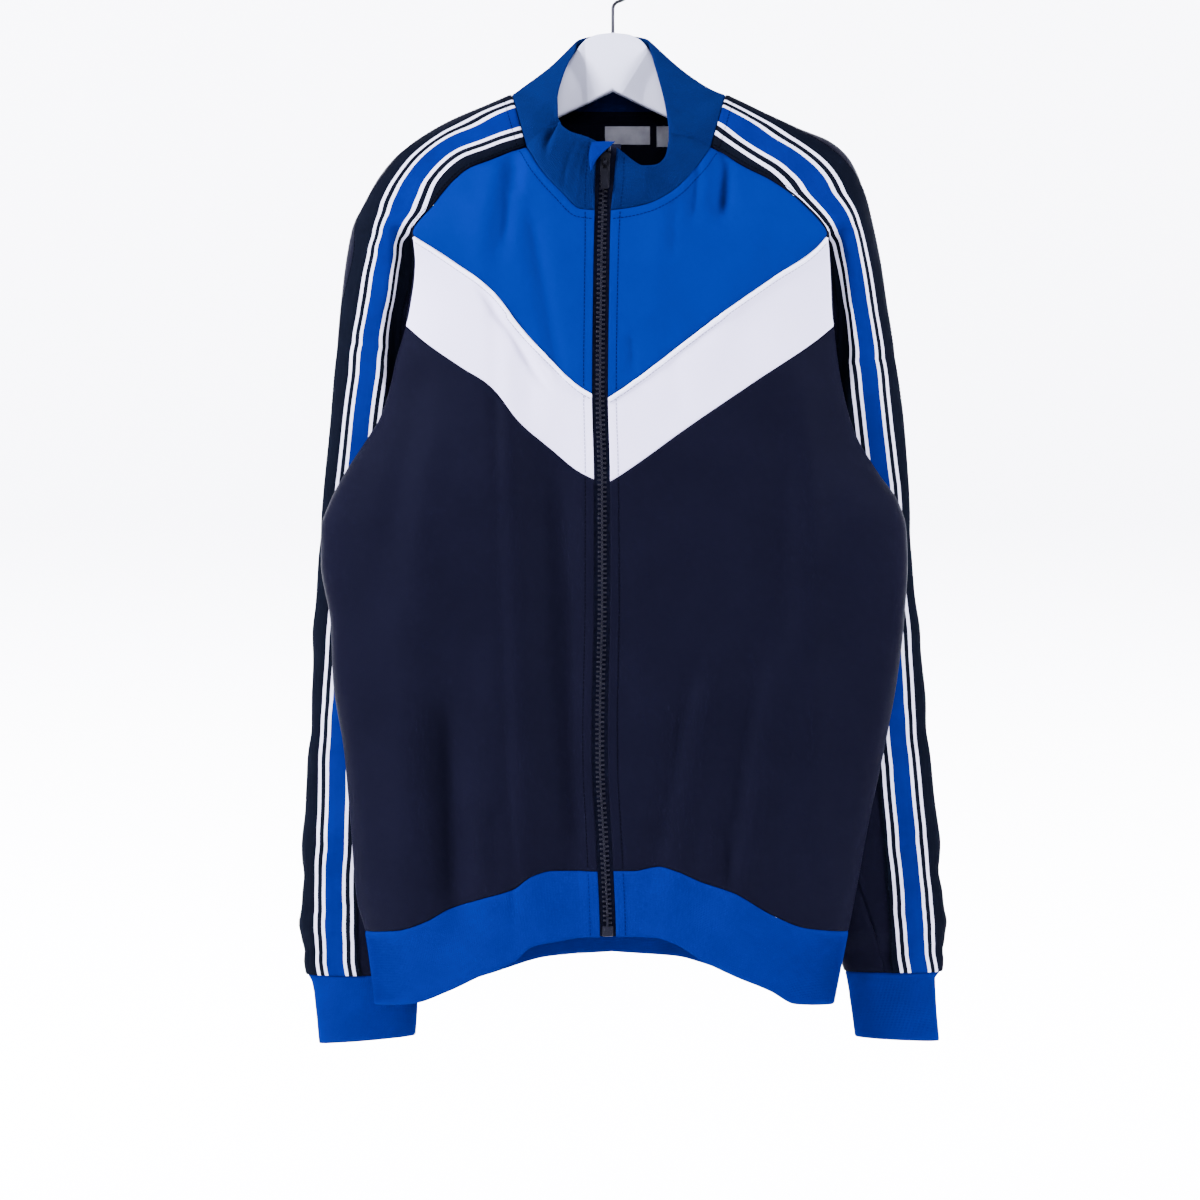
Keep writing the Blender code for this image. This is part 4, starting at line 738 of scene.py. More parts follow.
def sleeve_points(rows, turn):
    """Points at these turns of each row, + in front of the ridge and - behind it."""
    ridge, to_front, to_back, _, _, depth_front, depth_back = rows
    ahead = turn >= 0
    inward = np.where(ahead[..., None], to_front[:, None], to_back[:, None])
    point = ridge[:, None] + inward * (1 - np.cos(turn))[..., None]
    point[..., 1] -= np.where(ahead, depth_front[:, None], depth_back[:, None]) * np.sin(turn)
    return point


def seam_line(side, stations, front=True):
    """The raglan seam's points, in front or behind."""
    rows = shoulder_rows(side, stations)
    turn = rows[3] if front else -rows[4]
    return sleeve_points(rows, turn[:, None])[:, 0] * [SIDES[side], 1, 1]


for side in SIDES:
    seam = seam_line(side, STATIONS)
    print(side, "raglan seam:", round(float(lengths(seam)[-1])), "mm")

# %% [markdown]
# Every cloth piece is made in the same way from its grid. Its sewn edges are drawn in by a hair's
# breadth, so that neighbours never touch; then it gets its two faces and its rim, and takes the
# place of its packed node. Its grid is kept, because other pieces are sewn or laid on it.

# %% From grid to sewn piece
SEAM_GAP = 0.06  # what is left between two rolled edges, each side
KNIT = 1.0  # how thick a panel is
GRIDS = {}  # each piece's grid and normals, for what is sewn on it


def sew(body, slot, *nodes):
    """Hangs a piece on the jacket's body, in place of the packed nodes; the slot is not used."""
    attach(body, "jacket")
    if nodes:
        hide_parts(*nodes)
    return body


def tuck(grid, edges):
    """The grid with these edges drawn in by the seam's gap."""
    grid = grid.copy()
    for edge, here, there in (("top", (0,), (1,)), ("foot", (-1,), (-2,)),
                              ("first", (slice(None), 0), (slice(None), 1)),
                              ("last", (slice(None), -1), (slice(None), -2))):
        if edge in edges.split():
            grid[here] += SEAM_GAP * unit(grid[there] - grid[here])
    return grid


def cloth(name, grid, normal, finish, slot, seams="", hems="", gaps=None, thick=KNIT, relief=0.0,
          ring_from=None, piece=None):
    """A grid made into cloth and sewn on: gaps are the edges drawn in, at first all the seams."""
    GRIDS[name] = grid, normal
    laid = tuck(grid, seams if gaps is None else gaps)
    if ring_from is not None:
        laid[ring_from:, [0, -1]] = grid[ring_from:, [0, -1]]
    outer, inner = faces_of(laid, normal, thick, seams, hems)
    body = wall(piece or f"{name}_cloth", outer + normal * relief, inner, finish, ring_from)
    print(body.name, "grid", grid.shape[:2], "faces", len(body.data.polygons))
    return sew(body, slot, name)


print("panels are", KNIT, "mm thick, with", SEAM_GAP, "mm left at each side of a seam")

# %% [markdown]
# The panels are warp-knitted tricot. Its wales and courses are too fine to model, so they are
# relief in the finish. Saturated cloth looks flat in a render unless there are a little sheen and
# a slow change of tone, so the finish has both.

# %% The tricot's finish
ROYAL = (0.0002, 0.0092, 0.098)
SOFT_IOR = 1.035  # cloth hardly mirrors, so its edges don't shine
WALE, COURSE = 0.00075, 0.0009  # the knit's columns and rows, in metres


def tricot(name, base, roughness, sheen, tone, mottle=0.06, shine=0.12):
    """Warp-knitted polyester: fine vertical wales, a faint mottle and a soft sheen."""
    finish = Finish(name, base, roughness, Sheen_Weight=sheen, Sheen_Roughness=0.45, IOR=SOFT_IOR,
                    Sheen_Tint=(*tone, 1), Specular_IOR_Level=shine, Specular_Tint=(*tone, 1))
    slow = finish.noise(0.055, detail=3)
    fine = finish.noise(0.0011, detail=1, cloth=True, stretch=(1.6, 0.6, 1))
    tone = finish.math("MULTIPLY_ADD", slow, 0.65, finish.math("MULTIPLY", fine, 0.35))
    finish.mottle(tone, base, 1 - mottle, 1 + mottle)
    u, v, _ = finish.across()
    wales = finish.wave(u, WALE)
    rows = finish.wave(v, COURSE)
    knit = finish.math("ADD", finish.math("MULTIPLY", wales, 0.6), finish.math("MULTIPLY", rows, 0.4))
    finish.relief(knit, 0.00005, after=finish.relief(slow, 0.0006))
    return finish


royal_tricot = tricot("royal_tricot", ROYAL, 0.45, 0.004, (0.03, 0.3, 1.0), shine=1.0)
print("tricot with", round(MM / WALE, 1), "wales to the millimetre")

# %% [markdown]
# The upper front, the yoke, is a smooth satin-faced tricot. Its grid is filled in between its four
# edges: the neckline, the zip, the slanting chevron seam and the raglan seam. That is a Coons
# patch, the simplest surface through four given curves.

# %% The yokes
ACROSS = fine_ends(285, 3.4)
NECKLINE = tables(
    "x z",
    right=((14.6, -213), (25.5, -212), (40, -199.5), (57.4, -180.4), (69.6, -160)),
    left=((-1.5, -213), (7, -212), (25, -208.5), (43.4, -200), (64.4, -180.3), (78.5, -160)),
)
CHEVRON_TOP = tables(
    "x z",
    right=((10, -363), (27.4, -352.7), (48.6, -332.8), (73.2, -305.8), (95.5, -277.2), (126.8, -253.3),
           (160, -231.5)),
    left=((-6, -363.5), (9.5, -353.5), (59.6, -315.3), (93, -290), (127, -266), (162.6, -241.4),
          (171.3, -231.5)),
)


def coons(top, foot, first, last, down, along):
    """A patch inside four edges, each given by its points."""
    u, w = along[None, :, None], down[:, None, None]
    ruled = (1 - w) * top[None] + w * foot[None] + (1 - u) * first[:, None] + u * last[:, None]
    corners = (1 - w) * ((1 - u) * top[0] + u * top[-1]) + w * ((1 - u) * foot[0] + u * foot[-1])
    return ruled - corners


def front_line(side, line):
    """A sewn line's points across the front, zip to raglan seam."""
    z = crossing(side, line, ACROSS)
    return front_point(side, front_turn(side, ACROSS, z), z)


def yoke(side):
    """The upper front, from the neckline down to the chevron."""
    foot = front_line(side, CHEVRON_TOP[side])[:, [0, 2]]
    last = seam_line(side, ROWS["yoke"])[:, [0, 2]]
    down = ROWS["yoke"] / 7
    neck = NECKLINE[side]
    start_x = SIDES[side] * (zip_x(-213) + SIDES[side] * ZIP_OPENING)
    neck_x = start_x + (neck["x"][-1] - start_x) * ACROSS
    top = np.stack([SIDES[side] * neck_x, read(neck, "z", neck_x, key="x")], axis=-1)
    first_z = top[0, 1] + (foot[0, 1] - top[0, 1]) * down
    first = np.stack([zip_x(first_z) + SIDES[side] * ZIP_OPENING, first_z], axis=-1)
    plane = coons(top, foot, first, last, down, ACROSS)
    x, z = plane[..., 0], plane[..., 1]
    return xyz(x, front_y(side, x, z), z)


def outward_of_front(side, grid):
    """Forward in front, backward behind the side fold: which way the cloth faces."""
    middle = np.array([SIDES[side] * 90.0, 30.0, 0])
    return (grid - middle) * [1, 1, 0]


def front_panel(kind, side, grid, finish, slot):
    """One panel of a front, folded at the zip and sewn on its other edges."""
    normal = normals(grid, outward_of_front(side, grid))
    body = cloth(f"{kind}_{side}", grid, normal, finish, slot, seams="top foot last", hems="first")


for side in SIDES:
    front_panel("yoke", side, yoke(side), royal_tricot, "royal_tricot")

# %% [markdown]
# Between yoke and lower front a white band slants down to the zip from each armhole, so the two
# bands make a chevron. White polyester shows every soft shadow, so its finish keeps a cool tone
# below full white, and the light is set to leave room above it.

# %% The chevron
CHEVRON_FOOT = tables(
    "x z",
    right=((10, -429.5), (27.4, -421), (48.6, -403.6), (73.2, -382.6), (98.6, -352), (119.7, -338.4),
           (150, -317), (166, -303)),
    left=((-6, -431), (5.5, -424), (23.8, -411.5), (53.2, -390), (110, -351), (162.6, -315.3),
          (177.6, -303)),
)
WHITE = (0.72, 0.69, 0.86)
white_tricot = tricot("white_tricot", WHITE, 0.6, 0.05, (1, 1, 1), mottle=0.015)


def chevron(side):
    """The white band: rows between its two seams, spaced as the raglan seam's points are."""
    top, foot = front_line(side, CHEVRON_TOP[side]), front_line(side, CHEVRON_FOOT[side])
    seam_z = seam_line(side, ROWS["chevron"])[:, 2]
    down = (seam_z - seam_z[0]) / (seam_z[-1] - seam_z[0])
    z = top[:, 2] + (foot[:, 2] - top[:, 2]) * down[:, None]
    return front_point(side, front_turn(side, ACROSS[None], z), z)


for side in SIDES:
    front_panel("chevron", side, chevron(side), white_tricot, "white_tricot")

# %% [markdown]
# The navy lower front is the largest piece. It turns round the side fold and ends behind at the
# armhole and at the side seam. Dark cloth is read by its highlights alone: soft bluish bands where
# the folds catch the lamps, so its finish is nearly black and its shine is rough.

# %% The lower fronts
HEM_SEAM = tables(
    "x z",
    right=((8, -738.5), (49, -738), (64, -742), (80, -753), (106, -761), (132, -770), (148, -779),
           (171, -787), (200, -790)),
    left=((-1, -738), (16, -738), (36, -734.6), (52, -739), (70, -747), (96, -756), (127, -774),
          (153.5, -785), (190, -790)),
    back=((0, -756), (50, -760), (100, -771), (165, -787), (200, -790)),
)
NAVY = (0.0030, 0.0030, 0.0068)
SIDE_STEPS = fine_ends(360, 4.2)
navy_tricot = tricot("navy_tricot", NAVY, 0.45, 0.002, (0.5, 0.6, 1.0), mottle=0.1, shine=1.0)


def side_heights(foot):
    """Heights of the side seam's rows, underarm to hem."""
    return UNDERARM + (foot - UNDERARM) * SIDE_STEPS


def lower_front(side):
    """The navy front, round the side fold to the hidden armhole and side seam behind."""
    foot = hem_z(side, HEM_SEAM, ACROSS)
    seam_z = np.concatenate([seam_line(side, ROWS["armhole"])[:, 2], side_heights(foot[-1])[1:]])
    down = (seam_z - seam_z[0]) / (seam_z[-1] - seam_z[0])
    top = crossing(side, CHEVRON_FOOT[side], ACROSS)
    z = top + (foot - top) * down[:, None]
    return front_point(side, front_turn(side, ACROSS[None], z), z)


for side in SIDES:
    front_panel("front", side, lower_front(side), navy_tricot, "navy_tricot")

# %% [markdown]
# The sleeve's columns are spaced by their distance round the row: from the front seam to the
# striped tape, across the tape, and on over the ridge to the back seam. So the tape can be lifted
# from the sleeve's own points and lies on it exactly. Slanting rings of soft folds gather towards
# the cuff, where a hanging sleeve always settles.

# %% Columns and folds of the sleeves
TAPE_WIDTH = 54.0
TAPE_SEAM = table("z clear", (-240, 1.2), (-290, 6), (-830, 6))  # from its edge to the seam
TAPE_REACH = table(  # the most that its front edge lies from the ridge, round the sleeve
    "z reach", (-232, 80), (-296, 65), (-325, 58), (-375, 53), (-430, 51), (-541, 50), (-830, 50)
)
RING = (0, math.inf)  # all round the sleeve
SLEEVE_FOLDS = table(  # across the sleeve, by height: half width, depth, slant, and its share of the row
    "z width depth slant round reach",
    (-352, 12, -1.6, 0.35, *RING), (-402, 16, 1.6, 0.3, *RING),
    (-478, 15, -2.2, 0.25, *RING), (-560, 18, 1.8, 0.3, *RING),
    (-640, 14, -1.8, 0.2, *RING), (-706, 15, 1.8, -0.2, *RING),
    (-756, 10, -1.6, 0.15, *RING), (-792, 8, 2.2, 0.1, *RING), (-812, 6, -1.8, 0.05, *RING),
    (-520, 7, -1.0, 0.5, 0.25, 0.12), (-596, 8, -1.2, -0.35, 0.3, 0.14), (-668, 7, 1.0, 0.45, 0.22, 0.12),
    (-736, 6, -1.3, 0.4, 0.3, 0.12), (-768, 5, -1.4, -0.3, 0.2, 0.10), (-790, 4, 1.2, 0.25, 0.32, 0.10),
    (-803, 4, -1.3, 0.1, 0.2, 0.14), (-540, 8, -1.3, 0.4, 0.75, 0.12), (-625, 8, 1.2, -0.3, 0.7, 0.14),
    (-700, 7, -1.3, 0.35, 0.8, 0.12), (-772, 6, -1.4, 0.3, 0.72, 0.13),
)
ARMHOLE_FOLD = table(  # the deep fold beside the armhole's seam, and where its outer wall lies
    "z depth low high", (-222, 0, 12, 21), (-238, 13, 12, 21), (-320, 13, 12, 21), (-370, 9, 11, 20),
    (-430, 6, 10, 20), (-470, 0, 10, 20)
)
RELIEF_TOP, RELIEF_FOOT = -440, -826  # the arm's folds fade out towards these heights
SLANT_FROM = 200  # the distance from the middle at which a slanting fold is at its own height
SLEEVE_PARTS = {"front": 14, "tape": 24, "behind": 34}  # columns on each part of a row
ARM_HEIGHTS = {side: UNDERARM + (ARM[side]["z"][-1] - UNDERARM) * fine_ends(400, 4.2)[1:] for side in SIDES}
TAPE_SPAN = slice(SLEEVE_PARTS["front"], SLEEVE_PARTS["front"] + SLEEVE_PARTS["tape"] + 1)


def row_arcs(rows, count=240):
    """Turns across each row, and the distance from the ridge at each, + in front."""
    share = np.linspace(0, 1, count)
    halves = []
    for turn in (rows[3][:, None] * share, -rows[4][:, None] * share - 1e-9):
        steps = np.linalg.norm(np.diff(sleeve_points(rows, turn), axis=1), axis=-1)
        arc = np.concatenate([np.zeros((len(turn), 1)), np.cumsum(steps, axis=1)], axis=1)
        halves.append((turn, arc))
    (front, arc_front), (back, arc_back) = halves
    turns = np.concatenate([back[:, :0:-1], front], axis=1)
    return turns, np.concatenate([-arc_back[:, :0:-1], arc_front], axis=1)


def column_arcs(rows, arcs):
    """The distance from the ridge of each column: seam to tape, across the tape, on to the back."""
    z = rows[0][:, 2]
    first, last = arcs[:, -1:], arcs[:, :1]
    edge = np.minimum(first[:, 0] - read(TAPE_SEAM, "clear", z), read(TAPE_REACH, "reach", z))[:, None]
    far = edge - TAPE_WIDTH
    ahead = np.linspace(0, 1, SLEEVE_PARTS["front"] + 1)
    across = np.linspace(0, 1, SLEEVE_PARTS["tape"] + 1)[1:]
    behind = fine_ends(300, 300 / SLEEVE_PARTS["behind"])[1:]
    return np.concatenate([first + (edge - first) * ahead, edge - TAPE_WIDTH * across,
                           far + (last - far) * behind], axis=1)


print("columns round the arm:", sum(SLEEVE_PARTS.values()))

# %% [markdown]
# The sleeve's relief is added along its normals: the arm's folds and creases, and the deep fold
# beside the armhole, where the sleeve tucks behind the chest. Below the armhole the grid is a tube,
# so its first and last column are the same seam and have to agree.

# %% The sleeves
def tube_normals(grid, core):
    """A sleeve's normals, away from its core; below the armhole both seam columns share theirs."""
    normal = normals(grid, grid - core)
    normal[ARMHOLE_ROW:, 0] = unit(normal[ARMHOLE_ROW:, 0] + normal[ARMHOLE_ROW:, -1])
    normal[ARMHOLE_ROW:, -1] = normal[ARMHOLE_ROW:, 0]
    return normal


def sleeve_relief(side, grid, around):
    """The folds and creases of the arm, which fade out at its top, its cuff and its seam."""
    z, share = grid[..., 2], np.linspace(0, 1, grid.shape[1])
    aside = np.abs(grid[..., 0]) - SLANT_FROM
    lift = np.zeros(z.shape)
    for at, width, depth, slant, place, wide in zip(*SLEEVE_FOLDS.values()):
        lift += depth * np.exp(-(((z - at - slant * aside) / width) ** 2) - ((share - place) / wide) ** 2)
    lift += uneven(around, z, *UNEVEN[f"sleeve_{side}"])
    lift *= np.clip((RELIEF_TOP - z) / 60, 0, 1) * np.clip((z - RELIEF_FOOT) / 12, 0, 1)
    lift[:ARMHOLE_ROW] = 0
    return lift * np.clip(0.3 + np.minimum(share, 1 - share) / 0.03, 0, 1)


def sleeve(side):
    """The sleeve's grid and normals, rows from neck to cuff, with its folds."""
    upper, arm = shoulder_rows(side, STATIONS), arm_rows(side, ARM_HEIGHTS[side])
    rows = tuple(np.concatenate([a, b]) for a, b in zip(upper, arm))
    turns, arcs = row_arcs(rows)
    wanted = column_arcs(rows, arcs)
    turn = np.array([np.interp(w, a, t) for w, a, t in zip(wanted, arcs, turns)])
    turn[:, 0], turn[:, -1] = rows[3], -rows[4]
    grid = sleeve_points(rows, turn) * [SIDES[side], 1, 1]
    core = grid.mean(axis=1, keepdims=True) + [0, 0, -4]
    normal = tube_normals(grid, core)
    lift = sleeve_relief(side, grid, wanted)
    beside_seam = wanted[:, :1] - wanted
    deep, low, high = columns(ARMHOLE_FOLD, "depth low high", grid[..., 2])
    lift -= deep * ease((high - beside_seam) / (high - low)) * np.clip(beside_seam / 3, 0, 1)
    grid = grid + normal * lift[..., None]
    return grid, tube_normals(grid, core)


for side in SIDES:
    grid, normal = sleeve(side)
    body = cloth(f"sleeve_{side}", grid, normal, navy_tricot, "navy_tricot", seams="top foot first last",
                 ring_from=ARMHOLE_ROW)

# %% [markdown]
# Each sleeve carries a woven tape from neck to cuff: navy, then a pair of white stripes with a
# navy one between them, a broad blue one, and the same again. The stripes are colour alone, set
# by the distance across the tape, so they stay parallel however the sleeve bends. A short table
# lets them stray a little towards the front, as they do where a sleeve is eased into its seams.

# %% The striped tape
TAPE_THICK = 0.8
LAID_GAP = 0.3
TAPE_NAVY = (0.0022, 0.0030, 0.0056)
TAPE_WHITE = (0.70, 0.69, 0.80)
TAPE_BLUE = (0.0008, 0.0068, 0.085)
STRIPES = (  # where each stripe ends, in millimetres from the tape's front edge
    (10.9, TAPE_NAVY), (13.6, TAPE_WHITE), (17.2, TAPE_NAVY), (19.9, TAPE_WHITE), (34.1, TAPE_BLUE),
    (36.8, TAPE_WHITE), (40.4, TAPE_NAVY), (43.1, TAPE_WHITE), (54.0, TAPE_NAVY),
)
STRIPE_DRIFT = tables(  # how far the stripes stray towards the front, by height
    "z drift",
    right=((-114, 0), (-128, 0.5), (-144, 4), (-170, 2.5), (-186, 3), (-202, 7), (-216, 11.5), (-228, 10.5),
           (-242, 5), (-258, 4), (-286, 7), (-313, 4), (-345, 7.5), (-420, 7.5), (-540, 7.3), (-620, 5.3),
           (-720, 8), (-750, 7), (-785, 8), (-830, 6.5)),
    left=((-114, 0), (-138, -0.5), (-153, 2.5), (-170, 4.5), (-186, 8), (-200, 12.5), (-225, 13.3),
          (-245, 11.5), (-281, 11.5), (-305, 7), (-329, 3), (-361, 6.3), (-380, 7), (-405, 6), (-440, 4.5),
          (-523, 3), (-572, 4.5), (-604, 6), (-718, 7.2), (-751, 6), (-783, 6.5), (-816, 4)),
)


def striped_tape():
    """Stripes by the distance across the tape, each with a fine rib and soft woven edges."""
    finish = Finish("stripe_tape", TAPE_BLUE, 0.66, IOR=SOFT_IOR)
    u, v, _ = finish.across()
    ragged = finish.noise(0.0012, detail=1, cloth=True)
    place = finish.math("MULTIPLY_ADD", u, 1 / (TAPE_WIDTH * MM),
                        finish.math("MULTIPLY_ADD", ragged, 0.006, -0.003))
    ramp = finish.node("ShaderNodeValToRGB", Fac=place)
    ramp.color_ramp.interpolation = "CONSTANT"
    elements = ramp.color_ramp.elements
    elements.remove(elements[1])
    elements[0].color = (*STRIPES[0][1], 1)
    for (start, _), (_, colour) in zip(STRIPES[:-1], STRIPES[1:]):
        elements.new(start / TAPE_WIDTH).color = (*colour, 1)
    shade = finish.range(finish.noise(0.02, detail=3), LOW, HIGH, 0.9, 1.1)
    finish.shaded(ramp.outputs["Color"], shade)
    cross = finish.wave(v, 0.0011)
    along = finish.wave(u, 0.0009)
    finish.relief(finish.math("ADD", cross, finish.math("MULTIPLY", along, 0.7)), 0.00007)
    return finish


stripe_tape = striped_tape()


def stripe_places(side, face):
    """Where the finish reads its stripes: level across the tape, and by the cloth in the deep fold."""
    arc, level = reach(face, "first"), TAPE_WIDTH * np.linspace(0, 1, face.shape[1])
    folded = np.clip(read(ARMHOLE_FOLD, "depth", face[..., 2]) / 4, 0, 1)
    across = level + (TAPE_WIDTH + arc - arc[:, -1:] - level) * folded
    return across + read(STRIPE_DRIFT[side], "drift", face[..., 2])


for side in SIDES:
    name = f"tape_{side}"
    grid, normal = (part[:, TAPE_SPAN] for part in GRIDS[f"sleeve_{side}"])
    lay = tuck(grid + LAID_GAP * normal, "top foot")
    outer, inner = faces_of(lay + TAPE_THICK * normal, normal, TAPE_THICK, "top foot", "first last")
    GRIDS[name] = outer, normal
    body = sew(wall(f"{name}_cloth", outer, inner, stripe_tape, across=stripe_places(side, outer)),
               "stripe_tape", name)
    print(body.name, "runs", round(float(reach(lay, "top")[-1].mean())), "mm down the sleeve")

# %% [markdown]
# The back is one panel between the two back raglan seams and the side seams. Behind the hanger it
# stands nearly straight; below the arms it falls flat behind the fronts. Nobody sees it from the
# front, but it has folds of the same kind as the fronts, because the jacket is turned round.

# %% The back
BACK_MIDDLE = table(
    "z y",
    (-121, 34), (-180, 36), (-232, 34), (-288, 29), (-325, 18), (-375, 8), (-430, 3.5), (-470, 3),
    (-850, 3),
)
BACK_CROWN = 2.2
BACK_SMOOTH = -128  # above it there are no folds
BACK_FOLDS = table(
    "x0 z0 x1 z1 width depth",
    (-52, -300, -60, -720, 16, 3.5), (48, -330, 58, -740, 14, 3.5), (0, -420, 8, -700, 20, -3),
    (-20, -560, -34, -750, 10, 2.5), (28, -600, 24, -745, 9, -2.5),
)
BACK_CREASES = table(
    "x0 z0 x1 z1 width depth",
    (-110, -420, -98, -660, 7, -1.8), (96, -400, 90, -620, 6, 1.6), (62, -560, 70, -748, 5, -1.5),
    (-70, -600, -60, -745, 6, 1.5), (-12, -200, -20, -330, 9, -1.2), (30, -180, 36, -300, 8, 1.1),
    (-44, -160, -66, -260, 7, -1.4), (6, -690, 8, -752, 5, -1.3), (118, -640, 112, -765, 6, -1.6),
    (-124, -620, -128, -768, 5, 1.4),
)
BACK_ACROSS = 2 * fine_ends(315, 4.2) - 1


def back_edges():
    """Both edges of the back, neck to hem: the back raglan seams, then the side seams."""
    edges = []
    for side in SIDES:
        foot = hem_z(side, HEM_SEAM, ACROSS)[-1]
        z = side_heights(foot)[1:]
        lower = front_point(side, front_turn(side, 1.0, z), z)
        edges.append(np.concatenate([seam_line(side, STATIONS, front=False), lower]))
    return edges


def back_rows(first, last, across):
    """Rows across the back between two edges, crowned at the middle, with its folds."""
    share = (across[:, None] + 1) / 2
    grid = first[:, None] * (1 - share) + last[:, None] * share
    x, z = grid[..., 0], grid[..., 2]
    drop = np.clip((UNDERARM - z) / (UNDERARM - z[-1]), 0, 1) ** 2
    z += drop * (read(HEM_SEAM["back"], "z", np.abs(x[-1]), key="x") - z[-1])
    crown = 1 - np.abs(across) ** BACK_CROWN
    grid[..., 1] += (read(BACK_MIDDLE, "y", z) - grid[..., 1]) * crown
    lift = folds(BACK_FOLDS, x, z) + folds(BACK_CREASES, x, z) + uneven(x, 0.6 * z, *UNEVEN["back"])
    fade = np.clip((BACK_SMOOTH - z) / 40, 0, 1)
    grid[..., 1] += lift * crown * fade
    return grid


right_edge, left_edge = back_edges()
grid = back_rows(right_edge, left_edge, BACK_ACROSS)
body = cloth("back", grid, normals(grid, np.array([0, 1.0, 0])), navy_tricot, "navy_tricot",
             seams="top foot first last")

# %% [markdown]
# The hem band, cuffs and collar are a doubled rib knit. Its ribs run across the band's width, so
# they stand upright all round. They are real geometry here: four columns a rib, lifted and
# lowered in turn, fading into the seam and over the folded edge. Rib is matt, so its finish has
# almost no shine, only a mottle and tiny rows of stitches.

# %% Rib knit
RIB = 2.0
RIB_PITCH, RIB_HEIGHT = 1.5, 0.16
COLUMNS_A_RIB = 4
RIB_BLUE = (0.0007, 0.0064, 0.082)
COLLAR_SHADED_BLUE = (0.0016, 0.0066, 0.043)  # the collar's copy of the rib is darker, as painted shade


def rib_finish(name, base):
    """Matt doubled rib: a mottle and tiny rows of stitches."""
    finish = Finish(name, base, 0.82, Sheen_Weight=0.015, Sheen_Roughness=0.6,
                    Sheen_Tint=(0.1, 0.35, 1.0, 1), IOR=SOFT_IOR)
    tone = finish.math("MULTIPLY_ADD", finish.noise(0.03, detail=4), 0.6,
                       finish.math("MULTIPLY", finish.noise(0.0009, detail=1), 0.4))
    finish.mottle(tone, base, 0.86, 1.14)
    finish.relief(finish.wave(finish.across()[1], 0.0013), 0.00006, after=finish.relief(tone, 0.0004))
    return finish


rib_knit = rib_finish("rib_knit", RIB_BLUE)
# the collar's finish is the rib's own, darkened as painted shade
collar_rib_painted_shade = rib_finish("rib_knit_collar_painted_shade", COLLAR_SHADED_BLUE)


def rib_columns(length):
    """How many columns a band of this length has."""
    return COLUMNS_A_RIB * round(length / RIB_PITCH) + 1


def ribbed(name, grid, normal, finish, rows, **edges):
    """A band of rib: its outer face is lifted and lowered in ribs along its columns."""
    phase = 2 * math.pi * np.arange(grid.shape[1]) / COLUMNS_A_RIB
    fade = np.clip(np.minimum(rows, 1 - rows) / 0.05, 0, 1)[:, None, None]
    relief = RIB_HEIGHT * fade * np.cos(phase)[None, :, None]
    return cloth(name, grid, normal, finish, "rib_knit", thick=RIB, relief=relief, **edges)


print("four columns a rib,", RIB_PITCH, "mm a rib")

# %% [markdown]
# The hem band is one strip from the right front edge round the back to the left one. It is ruled
# between the hem seam and its own foot, which droops to the sides as the jacket hangs.

# %% The hem band
HEM_FOOT = tables(
    "x z",
    right=((8, -790.5), (21, -790.6), (44, -794), (64, -798), (80, -811), (98, -818.5), (132, -835),
           (158, -845), (192, -849)),
    left=((-1, -790), (31, -790.6), (49, -796), (70, -809), (96, -822), (125, -834.5), (146, -846),
          (178.5, -848.5)),
    back=((0, -807.5), (50, -811.5), (100, -826), (165, -846), (192, -849)),
)
HEM_ROWS = np.array([0, 0.012, 0.04, 0.1, 0.24, 0.42, 0.6, 0.78, 0.9, 0.96, 0.985, 1.0])


def hem_ring():
    """The band's grid, from the right front edge round the back to the left front edge."""
    parts = []
    for side in SIDES:
        across = np.linspace(0, 1, rib_columns(290))
        top, foot = hem_z(side, HEM_SEAM, across), hem_z(side, HEM_FOOT, across)
        z = top + (foot - top) * HEM_ROWS[:, None]
        parts.append(front_point(side, front_turn(side, across[None], z), z))
    right, left = parts
    across = np.linspace(-1, 1, rib_columns(310))
    top_line = back_rows(right_edge[-2:], left_edge[-2:], across)[-1]
    middle = np.repeat(top_line[None], len(HEM_ROWS), axis=0)
    foot_z = read(HEM_FOOT["back"], "z", np.abs(top_line[:, 0]), key="x")
    middle[..., 2] = top_line[:, 2] + (foot_z - top_line[:, 2]) * HEM_ROWS[:, None]
    share = (across[:, None] + 1) / 2
    ends = right[:, -1][:, None] * (1 - share) + left[:, -1][:, None] * share
    middle[..., 0] += ends[..., 0] - ends[0, :, 0]
    return np.concatenate([right, middle[:, 1:-1], left[:, ::-1]], axis=1)


grid = hem_ring()
normal = normals(grid, grid * [0, 1, 0] + [0, 14, 0])
body = ribbed("hem_band", grid, normal, rib_knit, HEM_ROWS, seams="top", hems="foot first last")

# %% [markdown]
# Each cuff is a closed tube of the same rib, drawn in from the sleeve's foot. Its columns are
# spaced evenly round a flattened ring, so that every rib has the same width.

# %% The cuffs
CUFF_TILT = {"right": -0.085, "left": -0.05}  # the foot's slope down to the outer side
CUFF = tables(
    "drop outer inner y half",
    right=((0, 249.4, 157, 22, 12.6), (5, 246, 159, 22, 12.2), (28, 242.5, 159.6, 22, 11.8),
           (53, 240, 161, 22, 11.4)),
    left=((0, 268, 189.6, 22, 12.6), (5, 263.5, 191, 22, 12.2), (28, 264.5, 194.5, 22, 11.8),
          (55, 267, 198, 22, 11.4)),
)
CUFF_FLATNESS = 12 / 45  # half depth by half width
CUFF_ROWS = np.array([0, 0.015, 0.04, 0.09, 0.18, 0.3, 0.44, 0.58, 0.72, 0.84, 0.92, 0.965, 0.988, 1.0])


